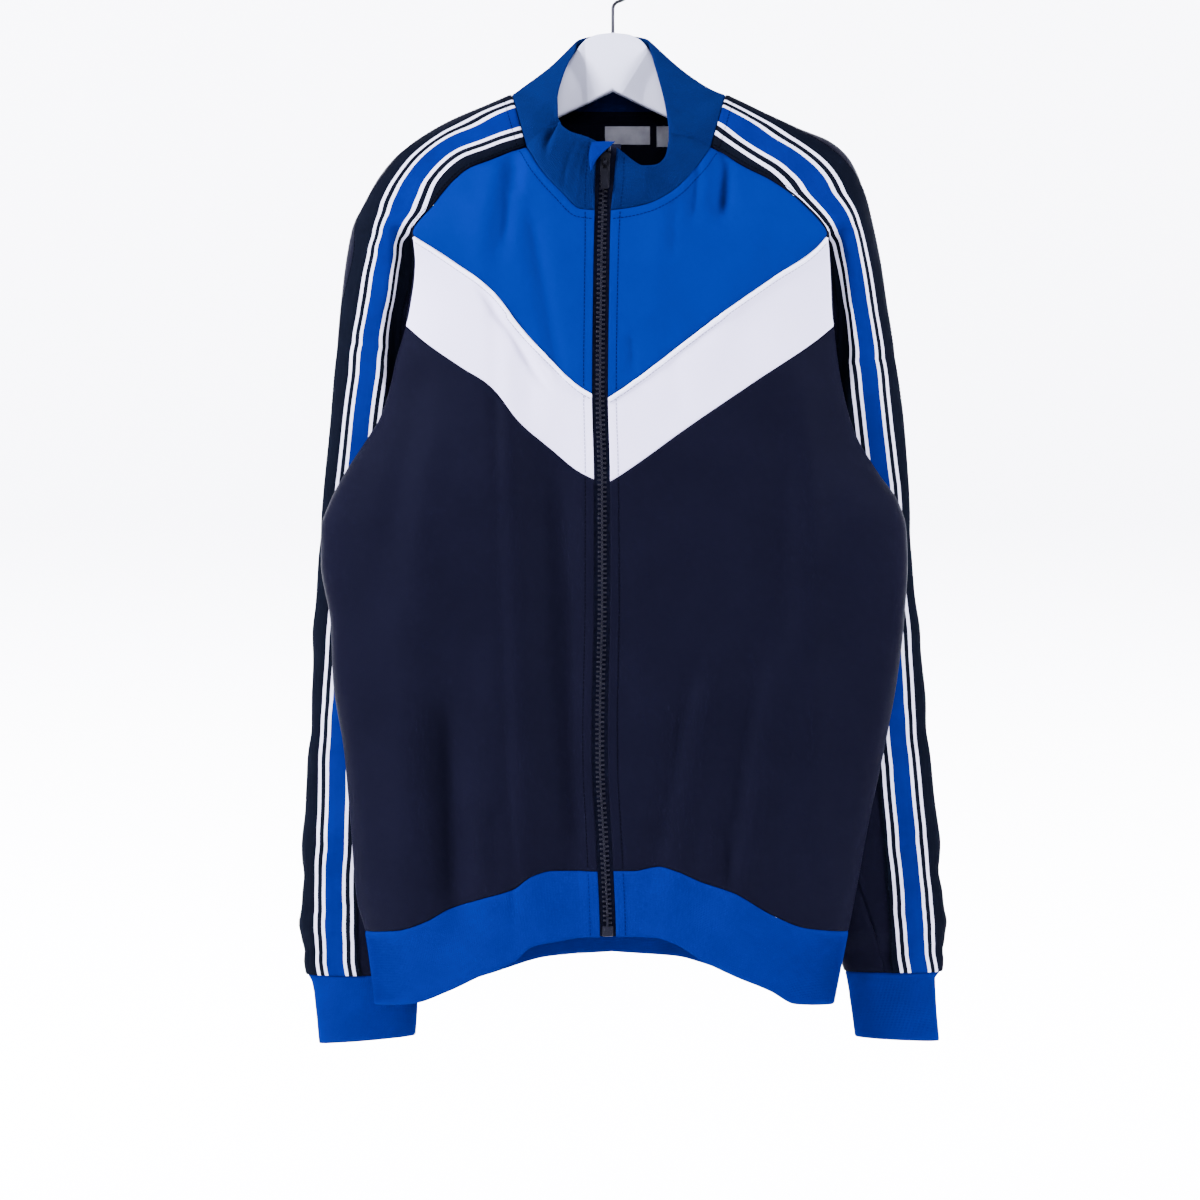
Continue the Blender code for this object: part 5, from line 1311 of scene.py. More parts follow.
def cuff(side):
    """The cuff's grid: sections that shrink and tilt from the sleeve's foot down."""
    drop = CUFF_ROWS * CUFF[side]["drop"][-1]
    outer, inner, y, half = (c[:, None] for c in columns(CUFF[side], "outer inner y half", drop, key="drop"))
    turn = math.radians(UNDERARM_TURN) - 2 * math.pi * np.linspace(0, 1, 400)
    arc = lengths(np.stack([1 - np.cos(turn), -np.sin(turn) * CUFF_FLATNESS], axis=-1))
    turn = np.interp(np.linspace(0, arc[-1], rib_columns(205)), arc, turn)
    x = outer + (inner - outer) / 2 * (1 - np.cos(turn))
    tilt = CUFF_TILT[side] * CUFF_ROWS[:, None] * (x - x.mean(axis=1)[:, None])
    grid = xyz(x, y - half * np.sin(turn), ARM[side]["z"][-1] - 0.1 - drop[:, None] + tilt)
    return grid * [SIDES[side], 1, 1]


for side in SIDES:
    grid = cuff(side)
    normal = normals(grid, grid - grid.mean(axis=1, keepdims=True))
    normal[:, 0] = normal[:, -1] = unit(normal[:, 0] + normal[:, -1])
    normal = unit(normal * [1, 1, 0.001])
    body = ribbed(f"cuff_{side}", grid, normal, rib_knit, CUFF_ROWS, seams="top", hems="foot", gaps="",
                  ring_from=0)

# %% [markdown]
# The collar is a stand of the same rib, sewn to the neckline all round and zipped in front. Its
# grid is ruled from the neck seam up to the rim, with a little fullness between. The rim droops
# in front, and the cloth there breaks into folds: a deep slit beside the zip on the wearer's
# right, and slack waves on both sides.

# %% The collar
RIM = table(
    "step x y z",
    (0, -12, -48, -159), (0.25, -18, -47.5, -156), (0.5, -25.5, -46.5, -153), (0.75, -35, -44, -149.5),
    (1, -43.5, -37, -140), (1.5, -44.5, -27, -121), (2, -37, -18, -92), (2.5, -31, -9, -78),
    (3, -29, 1, -69.5), (3.4, -22, 13, -64.5), (4, 0, 20, -61), (4.6, 22, 13, -64), (5, 29, 1, -69),
    (5.5, 31, -12, -80), (6, 36, -22, -101), (6.5, 42, -30, -128), (7, 44.5, -37, -150),
    (7.25, 42, -42, -168), (7.5, 34, -45.5, -176.5), (7.75, 24, -47, -177.5), (8, 3, -48, -163.5),
)
COLLAR_BULGE = 3.0
NECK_CENTRE = np.array([0, -6.0, -120])
COLLAR_ROWS = fine_ends(58, 3.4, fine=(0.0, 0.4, 1.0, 1.8))
COLLAR_FOLDS = table(  # by step round the collar and share up it: half widths, depth
    "step rise wide high lean depth",
    (0.93, 0.74, 0.055, 0.34, 0.10, -5.5), (0.80, 0.62, 0.08, 0.4, 0.0, 1.6),
    (1.25, 0.55, 0.16, 0.5, -0.25, 1.5), (1.65, 0.45, 0.14, 0.5, -0.3, -1.8),
    (0.52, 0.5, 0.05, 0.5, 0.05, -1.4), (0.30, 0.55, 0.05, 0.5, 0.0, 1.0), (6.9, 0.5, 0.22, 0.45, 0.3, 1.6),
    (6.45, 0.5, 0.15, 0.5, 0.25, -1.5), (7.45, 0.35, 0.14, 0.4, 0.0, -1.3),
    (7.72, 0.55, 0.05, 0.5, 0.0, 0.8), (3.4, 0.5, 0.2, 0.5, 0.1, 1.2), (4.5, 0.5, 0.18, 0.5, -0.1, -1.2),
)


def at_length(line, at, arc):
    """A line's columns at these distances along it, where arc is each row's distance."""
    return np.stack([np.interp(at, arc, column) for column in line.T], axis=-1)


def neck_line(pick):
    """What pick takes from each piece's grid and normals, along the neck seam from edge to edge."""
    halves = [np.concatenate([pick(*GRIDS[f"yoke_{side}"])[:-1], pick(*GRIDS[f"sleeve_{side}"])])
              for side in SIDES]
    return np.concatenate([halves[0][:-1], pick(*GRIDS["back"]), halves[1][:-1][::-1]])


def neck_ring():
    """The neck seam's points from the right front edge round to the left, with their steps."""
    steps = []
    for side in SIDES:
        rows = shoulder_rows(side, np.array([0.0]))
        turns, arcs = row_arcs(rows)
        wanted = column_arcs(rows, arcs)[0]
        turn = np.interp(wanted, arcs[0], turns[0])
        over = 2 - turn / np.where(turn > 0, rows[3], rows[4])
        steps.append(np.concatenate([ACROSS[:-1], over]))
    steps = np.concatenate([steps[0][:-1], 4 + BACK_ACROSS, 8 - steps[1][:-1][::-1]])
    return neck_line(lambda grid, normal: grid[0]), steps


def collar():
    """The stand collar from seam to rim, with its folds moved along its normals."""
    ring, steps = neck_ring()
    arc = lengths(ring)
    at = np.linspace(0, arc[-1], rib_columns(arc[-1]))
    ring, steps = at_length(ring, at, arc), np.interp(at, arc, steps)
    rim = xyz(*columns(RIM, "x y z", steps, key="step"))
    rise = COLLAR_ROWS[:, None, None]
    grid = ring * (1 - rise) + rim * rise
    outward = unit((grid - NECK_CENTRE) * [1, 1, 0.2])
    grid = grid + COLLAR_BULGE * np.sin(math.pi * rise) * outward
    normal = normals(grid, grid - NECK_CENTRE)
    lift = np.zeros(grid.shape[:2])
    for step, high, wide, tall, lean, depth in zip(*COLLAR_FOLDS.values()):
        along = (COLLAR_ROWS[:, None] - high) / tall
        lift += depth * np.exp(-(((steps - step - lean * along) / wide) ** 2) - along**2)
    grid = grid + normal * (lift * np.clip(COLLAR_ROWS / 0.15, 0, 1)[:, None])[..., None]
    return grid, normals(grid, grid - NECK_CENTRE)


grid, normal = collar()
body = ribbed("collar", grid, normal, collar_rib_painted_shade, COLLAR_ROWS, seams="top", hems="foot first last")

# %% [markdown]
# Inside, the neck seam's allowance is turned down against the pieces below and bound with a strip
# of navy. It is what one sees, instead of light, through the fine gap of the seam.

# %% The neck seam's binding
BINDING_ROWS = np.array([-1.2, 0.0, 1.6, 3.2])[:, None, None]  # from the seam down
BINDING_THICK = 0.5
under = neck_line(lambda grid, normal: normal[0])
down = neck_line(lambda grid, normal: unit(grid[1] - grid[0]))
strip = (neck_ring()[0] + BINDING_ROWS * down - (KNIT + 0.3) * under)[:, 4:-4]
body = sew(wall("neck_binding", strip, strip - BINDING_THICK * under[4:-4], navy_tricot), "navy_tricot")
print(body.name, strip.shape)

# %% [markdown]
# Small round pieces are tubes: closed rings of points along a path, with their ends capped. The
# same helper makes the piping, the bridge of the slider, the hanger and the hook. Many equal small
# things, such as teeth and stitches, are one mesh: a shape's points set down at many places.

# %% Tubes, copies and lines along an edge
def caps(ring):
    """Cells that close a ring with an even number of points."""
    half = len(ring) // 2
    near, far = ring[:half], ring[::-1][:half]
    return np.stack([near[:-1], near[1:], far[1:], far[:-1]], axis=-1)


def tube_faces(count, sides):
    """The cells round a tube of rings, and its two ends."""
    ids = np.arange(count * sides).reshape(count, sides)
    round_it = quads(np.concatenate([ids, ids[:, :1]], axis=1))
    return np.concatenate([round_it, caps(ids[0])[:, ::-1], caps(ids[-1])])


def tube(name, rings, finish):
    """A closed tube through rings of points, with cloth coordinates round it and along it."""
    count, sides = rings.shape[:2]
    faces = tube_faces(count, sides)
    along = reach(rings, "top")
    around = reach(np.concatenate([rings, rings[:, :1]], axis=1), "first")[:, :-1]
    uv = np.stack([around, along], axis=-1).reshape(-1, 2)[faces]
    return add_surface(name, rings.reshape(-1, 3), faces, finish, uv)


def oval(path, across, up, wide, high, sides):
    """Rings of half widths wide and high about a path, in the plane of across and up."""
    turn = 2 * math.pi * np.arange(sides) / sides
    wide, high = (np.broadcast_to(half, len(path))[:, None, None] for half in (wide, high))
    return (path[:, None] + across[:, None] * wide * np.cos(turn)[:, None]
            + up[:, None] * high * np.sin(turn)[:, None])


def copies(name, points, faces, places, axes, finish):
    """One shape set down at many places, each with three axes of its own, as one mesh."""
    moved = places[:, None] + np.einsum("ki,nij->nkj", points, axes)
    numbers = faces[None] + len(points) * np.arange(len(places))[:, None, None]
    return add_surface(name, moved.reshape(-1, 3), numbers.reshape(-1, 4), finish)


def inset_line(key, edge, distance):
    """Points and normals on a piece, at this distance along the cloth from one of its edges."""
    grid, normal = GRIDS[key]
    far = reach(grid, edge)
    if edge in ("top", "foot"):
        grid, normal, far = (np.swapaxes(a, 0, 1) for a in (grid, normal, far))
    if edge in ("foot", "last"):
        grid, normal, far = (a[:, ::-1] for a in (grid, normal, far))
    after = np.clip((far < distance).sum(axis=1), 1, far.shape[1] - 1)
    line = np.arange(len(far))
    low, high = far[line, after - 1], far[line, after]
    share = ((distance - low) / (high - low))[:, None]
    point = grid[line, after - 1] * (1 - share) + grid[line, after] * share
    return point, unit(normal[line, after - 1] * (1 - share) + normal[line, after] * share)


print("pieces to sew on:", ", ".join(GRIDS))

# %% [markdown]
# The chevron's upper seam holds a white piping: a cord folded into a strip of satin and caught in
# the seam, so that only its round edge shows. A line of stitches below it holds the seam
# allowances down.

# %% The piping
PIPING_WIDE, PIPING_HIGH = 1.9, 1.0  # half widths
PIPING_SIDES = 12
PIPING_WHITE = (0.87, 0.86, 0.97)
piping_satin = tricot("white_piping", PIPING_WHITE, 0.42, 0.05, (1, 1, 1), mottle=0.01)


def piping(side):
    """The round edge along the chevron's top, from the zip to just short of the raglan seam."""
    grid, normal = GRIDS[f"chevron_{side}"]
    down = unit(grid[1] - grid[0])
    path = grid[0] + down * (PIPING_WIDE + 0.25) + normal[0] * (PIPING_HIGH + 0.1)
    path = path + down * uneven(path[:, 0], path[:, 2], *UNEVEN["piping"])[:, None]
    ends = np.sqrt(np.clip(reach(grid, "last")[0] - 0.6, 0.02, 1.2) / 1.2)
    rings = oval(path, down, normal[0], PIPING_WIDE * ends, PIPING_HIGH * ends, PIPING_SIDES)
    return tube(f"piping_{side}_roll", rings, piping_satin)


for side in SIDES:
    roll = sew(piping(side), "white_tricot", f"piping_{side}")
    print(roll.name, len(roll.data.polygons), "faces")

# %% [markdown]
# The zip is a black moulded one. Each tape is a woven strip with a thick cord near its inner edge,
# which carries the teeth. The weave is relief in the finish: two waves multiplied.

# %% The zip's tapes
ZIP_TAPE_OUT = np.array([0.15, 0.45, 1.2, 3.6, 4.2, 6.0, 8.0, 9.8, 10.7, 11.0])  # its columns
ZIP_TAPE_THICK = 0.8
ZIP_TOP, ZIP_FOOT = -160.4, -790.0
CHAIN_TOP, CHAIN_FOOT = -181.6, -781.3
ZIP_CLOTH = (0.0055, 0.0061, 0.0128)
zip_tape = Finish("zip_tape", ZIP_CLOTH, 0.85, IOR=SOFT_IOR)
u, v, _ = zip_tape.across()
zip_tape.relief(zip_tape.math("MULTIPLY", zip_tape.wave(u, 0.0008), zip_tape.wave(v, 0.0007)), 0.00012)
zip_tape.mottle(zip_tape.noise(0.004, cloth=True), ZIP_CLOTH, 0.8, 1.3)


def zip_line(z):
    """The zip's middle on the tape's outer face at these heights."""
    return xyz(zip_x(z), read(ZIP, "y", z), z)


def facing_front(grid):
    """Normals that all point straight forward, for strips that lie flat."""
    return np.tile([0, -1.0, 0], (*grid.shape[:2], 1))


def zip_strip(side):
    """A zip tape: a flat strip with a slow wave, its edges turned round."""
    z = np.linspace(ZIP_TOP, ZIP_FOOT, 200)
    out = SIDES[side] * ZIP_TAPE_OUT
    cord = 0.35 * np.exp(-(((ZIP_TAPE_OUT - 3.9) / 0.7) ** 2))
    grid = np.repeat(zip_line(z)[:, None], len(out), axis=1)
    grid[..., 0] += out
    grid[..., 1] += 0.05 - cord + uneven(out + 40, z[:, None], *UNEVEN["zip_tape"])
    body = cloth(f"zip_tape_{side}", grid, facing_front(grid), zip_tape, "zip_tape", hems="first last",
                 thick=ZIP_TAPE_THICK)


for side in SIDES:
    zip_strip(side)

# %% [markdown]
# A tooth is a tapered block whose head grips between two teeth of the other side, so the closed
# chain is a zigzag. Both rows are copies of one tooth, half a pitch apart.

# %% The zip's teeth
CHAIN_RISE = 1.45  # from the tape's face to the middle of a tooth
TOOTH_PITCH = 3.8
TOOTH = table(  # sections of a tooth from its head, past the zip's middle, to its root on the tape
    "x high deep",
    (-0.75, 0.50, 0.60), (-0.60, 0.85, 1.00), (-0.15, 1.05, 1.25), (0.35, 1.00, 1.30), (0.90, 0.68, 1.30),
    (1.70, 0.70, 1.30), (2.60, 0.86, 1.22), (3.15, 0.86, 1.00), (3.40, 0.60, 0.60),
)
TOOTH_SIDES = 8
zip_teeth = Finish("zip_teeth", (0.0028, 0.0030, 0.0062), 0.42, Specular_IOR_Level=0.2)
box_plastic = Finish("zip_box", (0.0030, 0.0033, 0.0066), 0.6, Specular_IOR_Level=0.1)
zip_teeth.gloss(zip_teeth.noise(0.006, detail=3), 0.28, 0.46)


def tooth():
    """One tooth's points and cells: rounded sections from head to root, x outward, z along."""
    turn = 2 * math.pi * (np.arange(TOOTH_SIDES) + 0.5) / TOOTH_SIDES
    bend = 1.0 / np.maximum(np.abs(np.cos(turn)), np.abs(np.sin(turn))) * 0.93
    x, high, deep = (column[:, None] for column in TOOTH.values())
    rings = xyz(x, deep * np.sin(turn) * bend, high * np.cos(turn) * bend)
    return rings.reshape(-1, 3), tube_faces(len(x), TOOTH_SIDES)


def zip_chain():
    """Both rows of teeth between the slider and the box."""
    points, faces = tooth()
    places, axes = [], []
    for sign, shift in ((1, 0.0), (-1, 0.5)):
        z = np.arange(CHAIN_TOP - (0.9 + shift * TOOTH_PITCH), CHAIN_FOOT + 1.0, -TOOTH_PITCH)
        line = zip_line(z)
        line[:, 1] -= CHAIN_RISE
        along = unit(zip_line(z + 2) - zip_line(z - 2))
        deep = unit(np.cross(along, [1.0, 0, 0]))
        out = np.cross(deep, along) * sign
        axes.append(np.stack([out, deep * sign, along], axis=1))
        places.append(line)
    return copies("zip_chain_teeth", points, faces, np.concatenate(places), np.concatenate(axes), zip_teeth)


chain = sew(zip_chain(), "zip_teeth", "zip_chain")
print("teeth:", len(chain.data.polygons) // len(tooth()[1]), "pitch", TOOTH_PITCH)

# %% [markdown]
# At the top each tape has a small stop, and at the foot the pin and the box, where the two halves
# are joined before the slider is pulled up. They are rounded blocks.

# %% Stops, box and pin
def block(name, x0, x1, y0, y1, z0, z1, radius, finish, steps=4):
    """A block with rounded edges: rings with round corners, shrunk at both ends."""
    quarter = np.linspace(0, math.pi / 2, steps + 1)
    turn = np.concatenate([quarter + k * math.pi / 2 for k in range(4)])
    corner = np.repeat([(1, 1), (-1, 1), (-1, -1), (1, -1)], steps + 1, axis=0)
    middle, half = np.array([x0 + x1, y0 + y1]) / 2, np.array([x1 - x0, y1 - y0]) / 2
    ends = radius * (1 - np.sin(quarter))
    rise = radius * (1 - np.cos(quarter))
    z = np.concatenate([z0 + rise, z1 - rise[::-1]])
    bend = (radius - np.concatenate([ends, ends[::-1]]))[:, None, None]
    flat = middle + corner * (half - radius) + bend * np.column_stack([np.cos(turn), np.sin(turn)])
    return tube(name, xyz(flat[..., 0], flat[..., 1], z[:, None]), finish)


STOP_SPAN = (-166.6, -162.3)
face_y = float(read(ZIP, "y", CHAIN_FOOT))
middle_x = float(zip_x(CHAIN_FOOT - 4))
sew(block("zip_box_shell", middle_x - 4.3, middle_x + 4.3, face_y - 3.7, face_y - 0.3, ZIP_FOOT + 0.1,
          CHAIN_FOOT - 0.2, 1.2, box_plastic), "zip_teeth", "zip_box")
for name, (x0, x1, z0, z1) in {
    "zip_box_rib_upper": (-3.2, 3.2, -2.6, -1.9),
    "zip_box_rib_lower": (-3.2, 3.2, -5.4, -4.7),
    "zip_pin": (-1.1, 0.6, -0.4, 6.5),
}.items():
    sew(block(name, middle_x + x0, middle_x + x1, face_y - 4.0, face_y - 1.2, CHAIN_FOOT + z0,
              CHAIN_FOOT + z1, 0.3, box_plastic), "zip_teeth")
stop_x, stop_y = float(zip_x(-164)), float(read(ZIP, "y", -164))
stops = [block(f"zip_stop_{name}", stop_x + x0, stop_x + x0 + 2.6, stop_y - 2.6, stop_y - 0.3,
               *STOP_SPAN, 0.6, zip_teeth) for name, x0 in (("right", -3.2), ("left", 0.6))]
sew(stops[0], "zip_teeth", "zip_top_stop")
sew(stops[1], "zip_teeth")
print("box foot", ZIP_FOOT, "stops", len(stops))

# %% [markdown]
# The slider is cast metal under black enamel: two plates round the chain, waisted at the foot,
# with a core between them, and a bridge on its face.

# %% The slider
SLIDER_TOP, SLIDER_FOOT = -167.0, -181.0
SLIDER_HALF = table("z half", (-181, 3.4), (-178, 3.5), (-174, 3.75), (-170, 4.35), (-167, 4.2))
SLIDER_THICK = 4.6
HINGE_Z, HINGE_RISE = -175.5, 1.6
BRIDGE_RADIUS = 2.2
slider_metal = Finish("slider_metal", (0.0020, 0.0022, 0.0036), 0.4, Specular_IOR_Level=0.06)
slider_metal.gloss(slider_metal.noise(0.003, detail=4), 0.42, 0.58)
slider_face = float(read(ZIP, "y", HINGE_Z)) - 0.3 - SLIDER_THICK
hinge = np.array([float(zip_x(HINGE_Z)), slider_face - HINGE_RISE, HINGE_Z])


def slider_plate(y0, y1, grow, radius=0.55):
    """A plate of the slider: its outline waists towards the foot, its rim is rounded."""
    z = SLIDER_TOP + (SLIDER_FOOT - SLIDER_TOP) * fine_ends(14, 0.7, fine=(0.0, 0.12, 0.35, 0.7, 1.2))
    ends = np.clip(np.minimum(SLIDER_TOP - z, z - SLIDER_FOOT) / 1.6, 0.02, 1)
    half = (read(SLIDER_HALF, "half", z) + grow) * (1 - (1 - ends) ** 2.2 * 0.45)
    depth = (y1 - y0) / 2 - 0.35 * (1 - ends) ** 2
    quarter = np.linspace(0, math.pi / 2, 4)
    x = half[:, None] - radius + radius * np.sin(quarter)
    y = depth[:, None] - radius + radius * np.cos(quarter)
    x = np.concatenate([x, x[:, ::-1], -x, -x[:, ::-1]], axis=1)
    y = np.concatenate([y, -y[:, ::-1], -y, y[:, ::-1]], axis=1)
    return xyz(hinge[0] + x, (y0 + y1) / 2 + y, z[:, None])


def bridge():
    """The arch that the pull's bar goes through."""
    turn = np.linspace(-0.25, math.pi + 0.25, 22)
    y = np.minimum(hinge[1] - BRIDGE_RADIUS * np.sin(turn), slider_face + 0.5)
    path = xyz(hinge[0], y, hinge[2] + BRIDGE_RADIUS * np.cos(turn))
    across = np.tile([1.0, 0, 0], (len(turn), 1))
    return oval(path, across, xyz(0.0, -np.sin(turn), np.cos(turn)), 1.25, 0.68, 12)


sew(tube("slider_front_plate", slider_plate(slider_face, slider_face + 1.7, 0.0), slider_metal),
    "slider_metal", "slider")
for name, rings in {
    "slider_core": slider_plate(slider_face + 1.2, slider_face + 3.4, -1.1, 0.4),
    "slider_rear_plate": slider_plate(slider_face + 3.1, slider_face + 4.5, -0.1, 0.5),
    "slider_bridge": bridge(),
}.items():
    sew(tube(name, rings, slider_metal), "slider_metal")
print("slider's face at", round(slider_face, 2))

# %% [markdown]
# The pull hangs from the bridge by a bar, swings up and down, and has a raised rim round its tab
# and round its eye. It is the only piece that moves, so it rides on its own body.

# %% The pull
PULL_OUTLINE = [(0, 0.75), (3.1, 0.75), (3.7, 0.1), (3.7, -2.5), (3.7, -7.5), (3.55, -14), (3.35, -19.6),
                (2.9, -20.9), (1.9, -21.5), (0, -21.5)]  # right halves, from the top down
PULL_EYE = [(0, -0.75), (1.7, -0.75), (1.9, -0.95), (1.9, -2.5), (1.9, -4.6), (1.85, -4.9), (1.7, -5.05),
            (1.4, -5.15), (0.9, -5.2), (0, -5.2)]
PULL_RIM = ((0.0, 0.35), (0.12, 0.68), (0.35, 0.8), (0.62, 0.78), (0.85, 0.6))
EYE_RIM = ((0.6, 0.6), (0.4, 0.76), (0.15, 0.72), (0.0, 0.4))


def whole(half):
    """A closed outline, 4 points a step, from its right half and that half's mirror image."""
    left = [(-x, z) for x, z in half[-2:0:-1]]
    ring = np.array(left[-1:] + half + left)
    return at_length(ring, np.arange(0, len(ring) - 1, 0.25), np.arange(len(ring)))


def pull():
    """The pull: its two rims are sections between outline and eye, closed behind."""
    outer, inner = whole(PULL_OUTLINE), whole(PULL_EYE)
    toward, room = unit(inner - outer), np.linalg.norm(inner - outer, axis=-1)
    places, rise = [], []
    for start, way, rim in ((outer, toward, PULL_RIM), (inner, -toward, EYE_RIM)):
        for distance, height in rim:
            places.append(start + way * np.minimum(distance, 0.45 * room)[:, None])
            rise.append(height)
    places, rise = np.array(places + places[::-1]), np.array(rise + [-r for r in rise[::-1]])[:, None]
    grid = xyz(hinge[0] + places[..., 0], hinge[1] - rise, hinge[2] + places[..., 1])
    ids = np.pad(np.arange(grid[..., 0].size).reshape(grid.shape[:2]), ((0, 1), (0, 1)), "wrap")
    return add_surface("pull_tab_plate", grid.reshape(-1, 3), quads(ids), slider_metal)


tab = pull()
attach(tab, "pull_tab")
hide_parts("pull")
print("pull", len(tab.data.polygons), "faces, hinge at", np.round(hinge, 2))

# %% [markdown]
# A corner of the collar's cloth is turned down over the top of the zip, so that the slider can't
# scratch the chin. It is the same rib, one layer thick, drawn to a point beside the slider.

# %% The zip garage
ZIP_GARAGE = table(  # the corner of cloth folded over the top of the zip
    "z inner_x outer_x y_inner y_outer",
    (-159.5, 1.5, -17, -54.5, -51.5), (-165, -4, -18.5, -57, -51.5), (-171, -10.5, -19.5, -56.5, -51),
    (-177, -14.5, -19, -54, -52), (-182.5, -16.6, -18.4, -52.4, -52),
)


def garage():
    """The flap: rows down its length, columns from its sewn side to its free side."""
    z = np.linspace(ZIP_GARAGE["z"][0], ZIP_GARAGE["z"][-1], 34)[:, None]
    share = np.linspace(0, 1, 26)
    inner_x, outer_x, y_inner, y_outer = columns(ZIP_GARAGE, "inner_x outer_x y_inner y_outer", z)
    x = outer_x * (1 - share) + inner_x * share
    y = y_outer * (1 - share) + y_inner * share
    y = y - 0.9 * np.sin(math.pi * share) + uneven(x, z, *UNEVEN["zip_garage"])
    crease = np.exp(-(((x + 8 + 0.9 * (z + 168)) / 1.6) ** 2))
    return xyz(x, y + 0.5 * crease * np.sin(math.pi * share), z)


grid = garage()
flap = cloth("zip_garage", grid, normals(grid, np.array([0, -1.0, 0])), rib_knit, "rib_knit",
             hems="top foot first last", piece="zip_garage_flap")

# %% [markdown]
# Inside the back of the neck a navy tape covers the seam, and two bare satin labels hang from it.
# They carry no words here.

# %% Neck tape and labels
NECK_TAPE = (-120.5, -132.0)  # its top and foot
LABELS = {  # left and right edges, top and foot
    "label_main": (-6.3, 30.7, -134, -149),
    "label_size": (36, 47, -134, -151),
}
NECK_LAY = 0.6  # from the back's inner face
BACK_TOP_ROWS = 40  # the back's rows that reach far enough down for what is laid on it
LABEL_GREY = (0.33, 0.335, 0.345)
neck_finish = tricot("neck_tape", tint(NAVY, 0.9), 0.7, 0.02, (0.5, 0.55, 0.8), mottle=0.1)
label_satin = Finish("label_satin", LABEL_GREY, 0.38, Specular_IOR_Level=0.3)
label_satin.mottle(label_satin.noise(0.012, detail=3), LABEL_GREY, 0.72, 1.2)
label_satin.relief(label_satin.wave(label_satin.across()[1], 0.0005), 0.00003)


def on_back(x, z, lay):
    """Points inside the back at these places, this far in front of its inner face."""
    grid, normal = GRIDS["back"]
    lines = (grid - KNIT * normal)[:BACK_TOP_ROWS].transpose(1, 0, 2)
    at = np.array([[np.interp(-z, -line[:, 2], line[:, k]) for k in (0, 1)] for line in lines])
    y = np.array([np.interp(x, at[:, 0, i], at[:, 1, i]) for i in range(len(z))])
    return xyz(x, y - lay, z[:, None])


def laid_strip(name, x, z, thick, finish, slot, hang=0.0):
    """A flat piece on the inside of the back; hang lets its foot stand off, with a slow wave."""
    grid = on_back(x, z, NECK_LAY)
    down = np.linspace(0, 1, len(z))[:, None]
    grid[..., 1] -= hang * down**1.5 * (1 + 0.35 * np.sin((x - x[0]) / (x[-1] - x[0]) * 5.2))
    return cloth(name, grid, facing_front(grid), finish, slot, hems="top foot first last", thick=thick)


laid_strip("neck_tape", np.linspace(-66, 66, 90), np.linspace(*NECK_TAPE, 10), 0.8, neck_finish,
           "navy_tricot")
for name, (x0, x1, top, foot) in LABELS.items():
    label = laid_strip(name, np.linspace(x0, x1, 40), np.linspace(top, foot, 18), 0.6, label_satin,
                       "label_satin", hang=1.6)
print("labels:", ", ".join(LABELS), "(bare)")

# %% [markdown]
# Stitches hold it all: a line down each side of the zip, one round the neck below the collar, one
# under the piping and one along each edge of the striped tapes. Each stitch is a small capsule
# pressed a little into the cloth, and its thread is the cloth's colour made much darker, as the
# painted shade of the groove that a stitch sinks into.

# %% Stitches
STITCH, STITCH_PITCH = 2.5, 3.1
STITCH_RADIUS = 0.26
STITCH_SIDES = 6


def stitch():
    """A capsule along x that dips into the cloth at both ends."""
    x = np.array([-0.5, -0.36, 0.36, 0.5])[:, None] * STITCH
    radius = np.array([0.35, 1.0, 1.0, 0.35])[:, None] * STITCH_RADIUS
    z = np.array([-0.5, 0.45, 0.45, -0.5])[:, None] * STITCH_RADIUS
    turn = 2 * math.pi * np.arange(STITCH_SIDES) / STITCH_SIDES
    rings = xyz(x, radius * np.cos(turn), z + radius * np.sin(turn))
    return rings.reshape(-1, 3), tube_faces(len(x), STITCH_SIDES)


def sew_line(name, lines, base):
    """All the stitches along several lines of (points, normals), in one thread."""
    thread = Finish(name, base, 0.8, IOR=SOFT_IOR)
    places, axes = [], []
    for points, up in lines:
        arc = lengths(points)
        at = np.arange(STITCH_PITCH, arc[-1] - STITCH_PITCH / 2, STITCH_PITCH)
        place, above = at_length(points, at, arc), at_length(up, at, arc)
        along = unit(at_length(points, at + 0.5, arc) - place)
        above = unit(above - along * (above * along).sum(axis=-1, keepdims=True))
        places.append(place)
        axes.append(np.stack([along, np.cross(above, along), above], axis=1))
    points, faces = stitch()
    body = copies(name, points, faces, np.concatenate(places), np.concatenate(axes), thread)
    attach(body, "jacket")
    return len(np.concatenate(places))


BESIDE_ZIP, BELOW_NECK, BELOW_PIPING, BESIDE_STRIPES = 7.5, 7.0, 4.9, 1.3
GROOVE_SHADED_THREADS = {  # its colour, darkened as painted groove shade, then the lines it sews: the pieces, the edges, and how far inside them
    "royal": (tint(ROYAL, 0.1), ("yoke_", "first", BESIDE_ZIP), ("yoke_", "top", BELOW_NECK)),
    "white": ((0.19, 0.19, 0.27), ("chevron_", "first", BESIDE_ZIP), ("chevron_", "top", BELOW_PIPING)),
    "navy": (tint(NAVY, 0.3), ("front_", "first", BESIDE_ZIP), ("tape_", "first last", BESIDE_STRIPES),
             ("back", "top", BELOW_NECK), ("tape_", "top", BELOW_NECK)),
    "rib": (tint(RIB_BLUE, 0.3), ("hem_band", "first last", BESIDE_ZIP),
            ("collar", "first last", BESIDE_ZIP)),
}
for thread, (base, *sewn) in GROOVE_SHADED_THREADS.items():
    count = sew_line(f"stitches_{thread}", [
        inset_line(key, edge, inside) for pieces, edges, inside in sewn
        for key in ([pieces + side for side in SIDES] if pieces.endswith("_") else [pieces])
        for edge in edges.split()], base)
    print(thread, "stitches:", count)
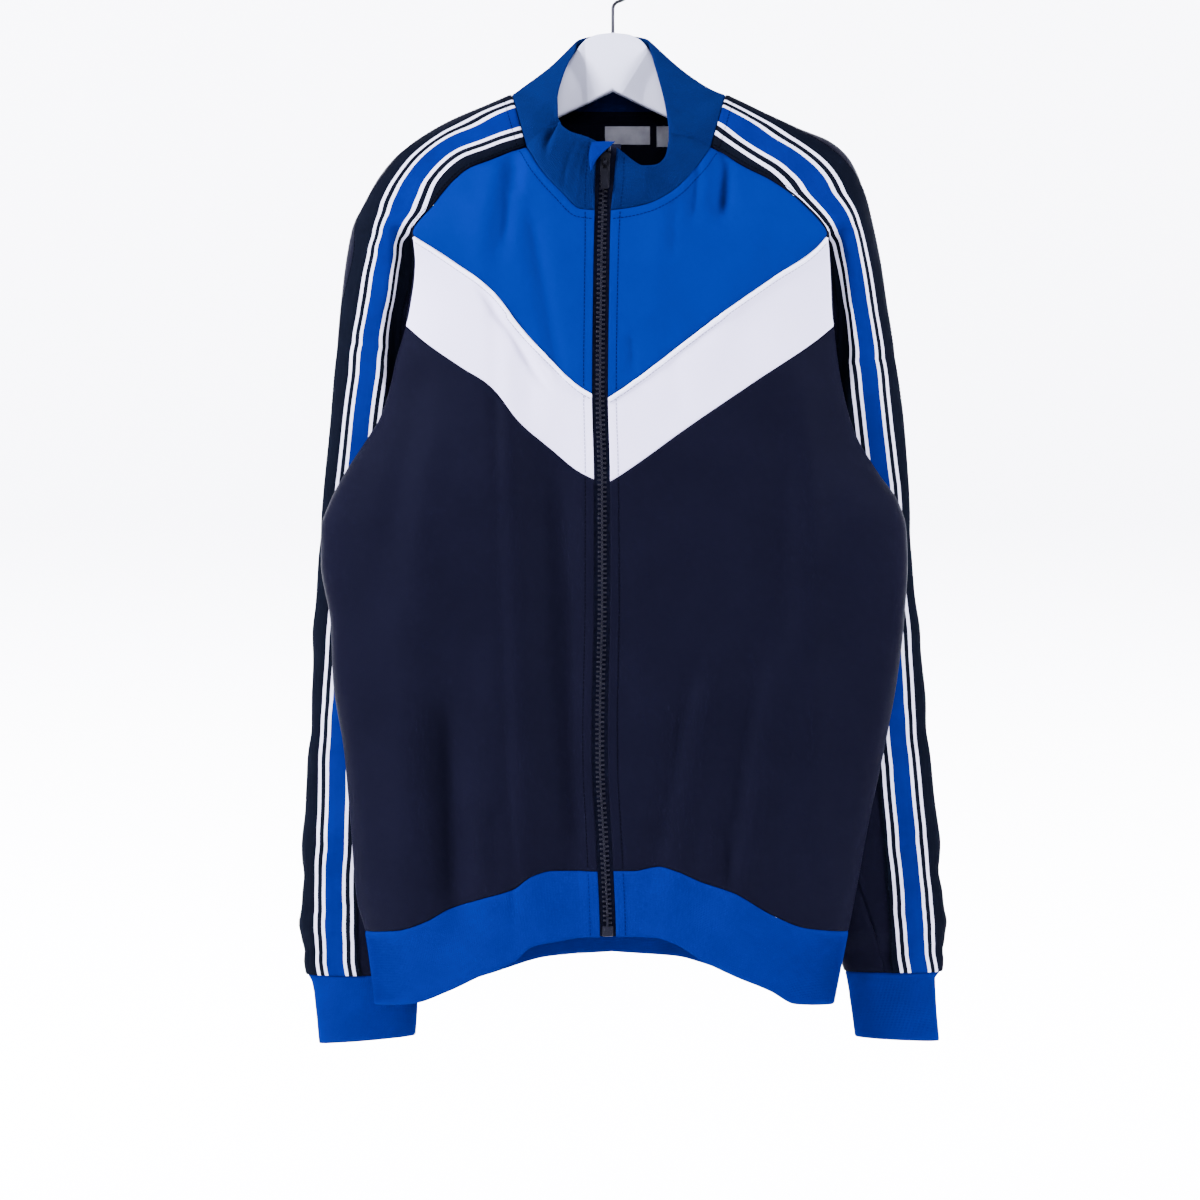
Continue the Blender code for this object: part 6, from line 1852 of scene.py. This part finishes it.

# %% [markdown]
# The hanger is moulded plastic: a head with a bright middle facet and leaning side facets, and
# two arms that slope down into the shoulders. The side facets' colour is darkened as painted
# shade. Every section is a rounded outline, so its edges catch a thin line of light.

# %% The hanger
HANGER = table(
    "x top foot half_y",
    (0, -64.3, -110.6, 7), (12, -65.6, -116.4, 7), (22, -70, -121.2, 7), (28, -76.5, -124, 7),
    (36, -86.5, -127.8, 7), (46, -94.5, -132.6, 7), (58, -105.2, -139, 6.8), (70, -116.6, -145.5, 6.4),
    (82, -119.6, -150.5, 6.2), (104, -126.1, -159, 6), (128, -136.3, -167.5, 6), (152, -149.9, -178, 6),
    (172, -164.8, -190, 6), (188, -184.7, -203, 5.6), (196.5, -203, -212, 5), (200, -214, -216.5, 4),
)
FACET_EDGE = table("z x", (-64, 30), (-75, 27), (-95, 14), (-111, 5))
FACET_SLOPE = 0.16
HANGER_ROUND = 2.2
CORNER_STEPS, FRONT_LEVELS = 5, 9
HANGER_WHITE = (0.60, 0.62, 0.70)
# the line on each side of the head beyond which the colour is darkened as painted shade, and by how much
PAINTED_SHADE_LINE = {"left": (-0.05, -0.0255), "right": (0.62, 0.0770)}  # x by height: slope and place, metres
PAINTED_FACET_SHADE = 0.66
hanger_plastic = Finish("hanger_plastic", HANGER_WHITE, 0.36, Specular_IOR_Level=0.4, Coat_Weight=0.12,
                        Coat_Roughness=0.15)
hanger_plastic.gloss(hanger_plastic.noise(0.02, detail=4), 0.3, 0.46)


def paint_facet_shade(finish):
    """Painted shade: beyond a line on each side of the head, the side facets' colour is darkened."""
    x, _, z = finish.across(cloth=False)
    left, right = (finish.math("MULTIPLY_ADD", z, *PAINTED_SHADE_LINE[side]) for side in ("left", "right"))
    beyond = finish.math("MAXIMUM", finish.math("SUBTRACT", left, x), finish.math("SUBTRACT", x, right))
    # painted shade: a darker colour on the side facets
    painted_shade = finish.range(beyond, 0, 0.0016, 1, PAINTED_FACET_SHADE)
    cloudy = finish.range(finish.noise(0.05, detail=4), 0.35, 0.65, 0.97, 1.02)
    finish.shaded(HANGER_WHITE, finish.math("MULTIPLY", painted_shade, cloudy))


paint_facet_shade(hanger_plastic)


def hanger_section(x):
    """One section across the arm, from its top down the leaning front and back underneath."""
    top, foot, half = (float(value) for value in columns(HANGER, "top foot half_y", abs(x), key="x"))
    bevel = min(HANGER_ROUND, (top - foot) / 3)
    turn = np.linspace(0, math.pi / 2, CORNER_STEPS)
    sine, cosine = bevel * np.sin(turn), bevel * np.cos(turn)
    levels = np.linspace(top - bevel, foot + bevel, FRONT_LEVELS)
    lean = FACET_SLOPE * np.maximum(0.0, abs(x) - read(FACET_EDGE, "x", levels))
    y = -half + np.minimum(lean, half * 0.45)
    back, brow, heel = half - bevel, top - bevel, foot + bevel
    y = [(y[0] + bevel - sine)[:-1], y, (y[-1] + bevel - cosine)[1:], back + sine, back + cosine]
    z = [(brow + cosine)[:-1], levels, (heel - sine)[1:], heel - cosine, brow + sine]
    return xyz(x, np.concatenate(y), np.concatenate(z))


reaches = np.concatenate([np.linspace(0, 40, 41), np.linspace(41.5, 196, 66), np.linspace(197, 200, 7)])
rings = np.array([hanger_section(x) for x in np.concatenate([-reaches[:0:-1], reaches])])
hanger = sew(tube("hanger_moulding", rings, hanger_plastic), "hanger_plastic", "hanger")
print("hanger", rings.shape, len(hanger.data.polygons), "faces")

# %% [markdown]
# The hook is one rod of drawn steel, screwed into the head: a stem, a bend, and an arch that is
# open at one side. It grows thin at the very tip, so that it ends round.

# %% The hook
HOOK_ROD, HOOK_RADIUS = 2.8, 20.0
HOOK_TURN = (-52, 190)  # degrees that the arch runs through
HOOK_BEND = ((0, -43.5), (0.8, -41), (2.9, -38.8), (7, -37.2))  # x, z from the stem to the arch
hook_steel = Finish("hook_steel", (0.022, 0.022, 0.024), 0.42, Metallic=1.0)
hook_steel.gloss(hook_steel.noise(0.004, detail=3, stretch=(1, 1, 0.2)), 0.3, 0.5)


def hook_path():
    """The rod's middle line: the stem, its bend, and the arch open at the wearer's right."""
    middle_z = HOOK_ROD / 2 - HOOK_RADIUS
    turn = np.radians(np.linspace(*HOOK_TURN, 90))
    arch = xyz(HOOK_RADIUS * np.cos(turn), 0.0, middle_z + HOOK_RADIUS * np.sin(turn))
    stem = [(x, 0, z) for x, z in ((0, HANGER["top"][0] + 0.3), *HOOK_BEND)]
    knots = np.concatenate([stem, arch, [arch[-1] + [-1, 0, -5]]])
    arc = lengths(knots)
    return at_length(knots, np.linspace(0, arc[-1], 220), arc)


path = hook_path()
ahead = unit(np.gradient(path, axis=0))
aside = np.tile([0, 1.0, 0], (len(path), 1))
from_tip = reach(path[:, None], "foot")[:, 0]
rod = HOOK_ROD / 2 * np.sqrt(1 - np.clip(1 - from_tip / 1.2, 0, 0.98) ** 2)
hook = sew(tube("hook_rod", oval(path, aside, np.cross(ahead, aside), rod, rod, 16), hook_steel),
           "hook_steel", "hook")
print("hook", len(hook.data.polygons), "faces")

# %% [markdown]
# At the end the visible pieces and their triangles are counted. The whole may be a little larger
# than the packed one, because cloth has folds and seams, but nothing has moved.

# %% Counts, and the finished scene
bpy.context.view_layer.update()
made = [o for o in bpy.context.scene.objects if o.type == "MESH" and not o.hide_render]
triangles = sum(len(p.vertices) - 2 for o in made for p in o.data.polygons)
print("pieces:", len(made), "triangles:", triangles)
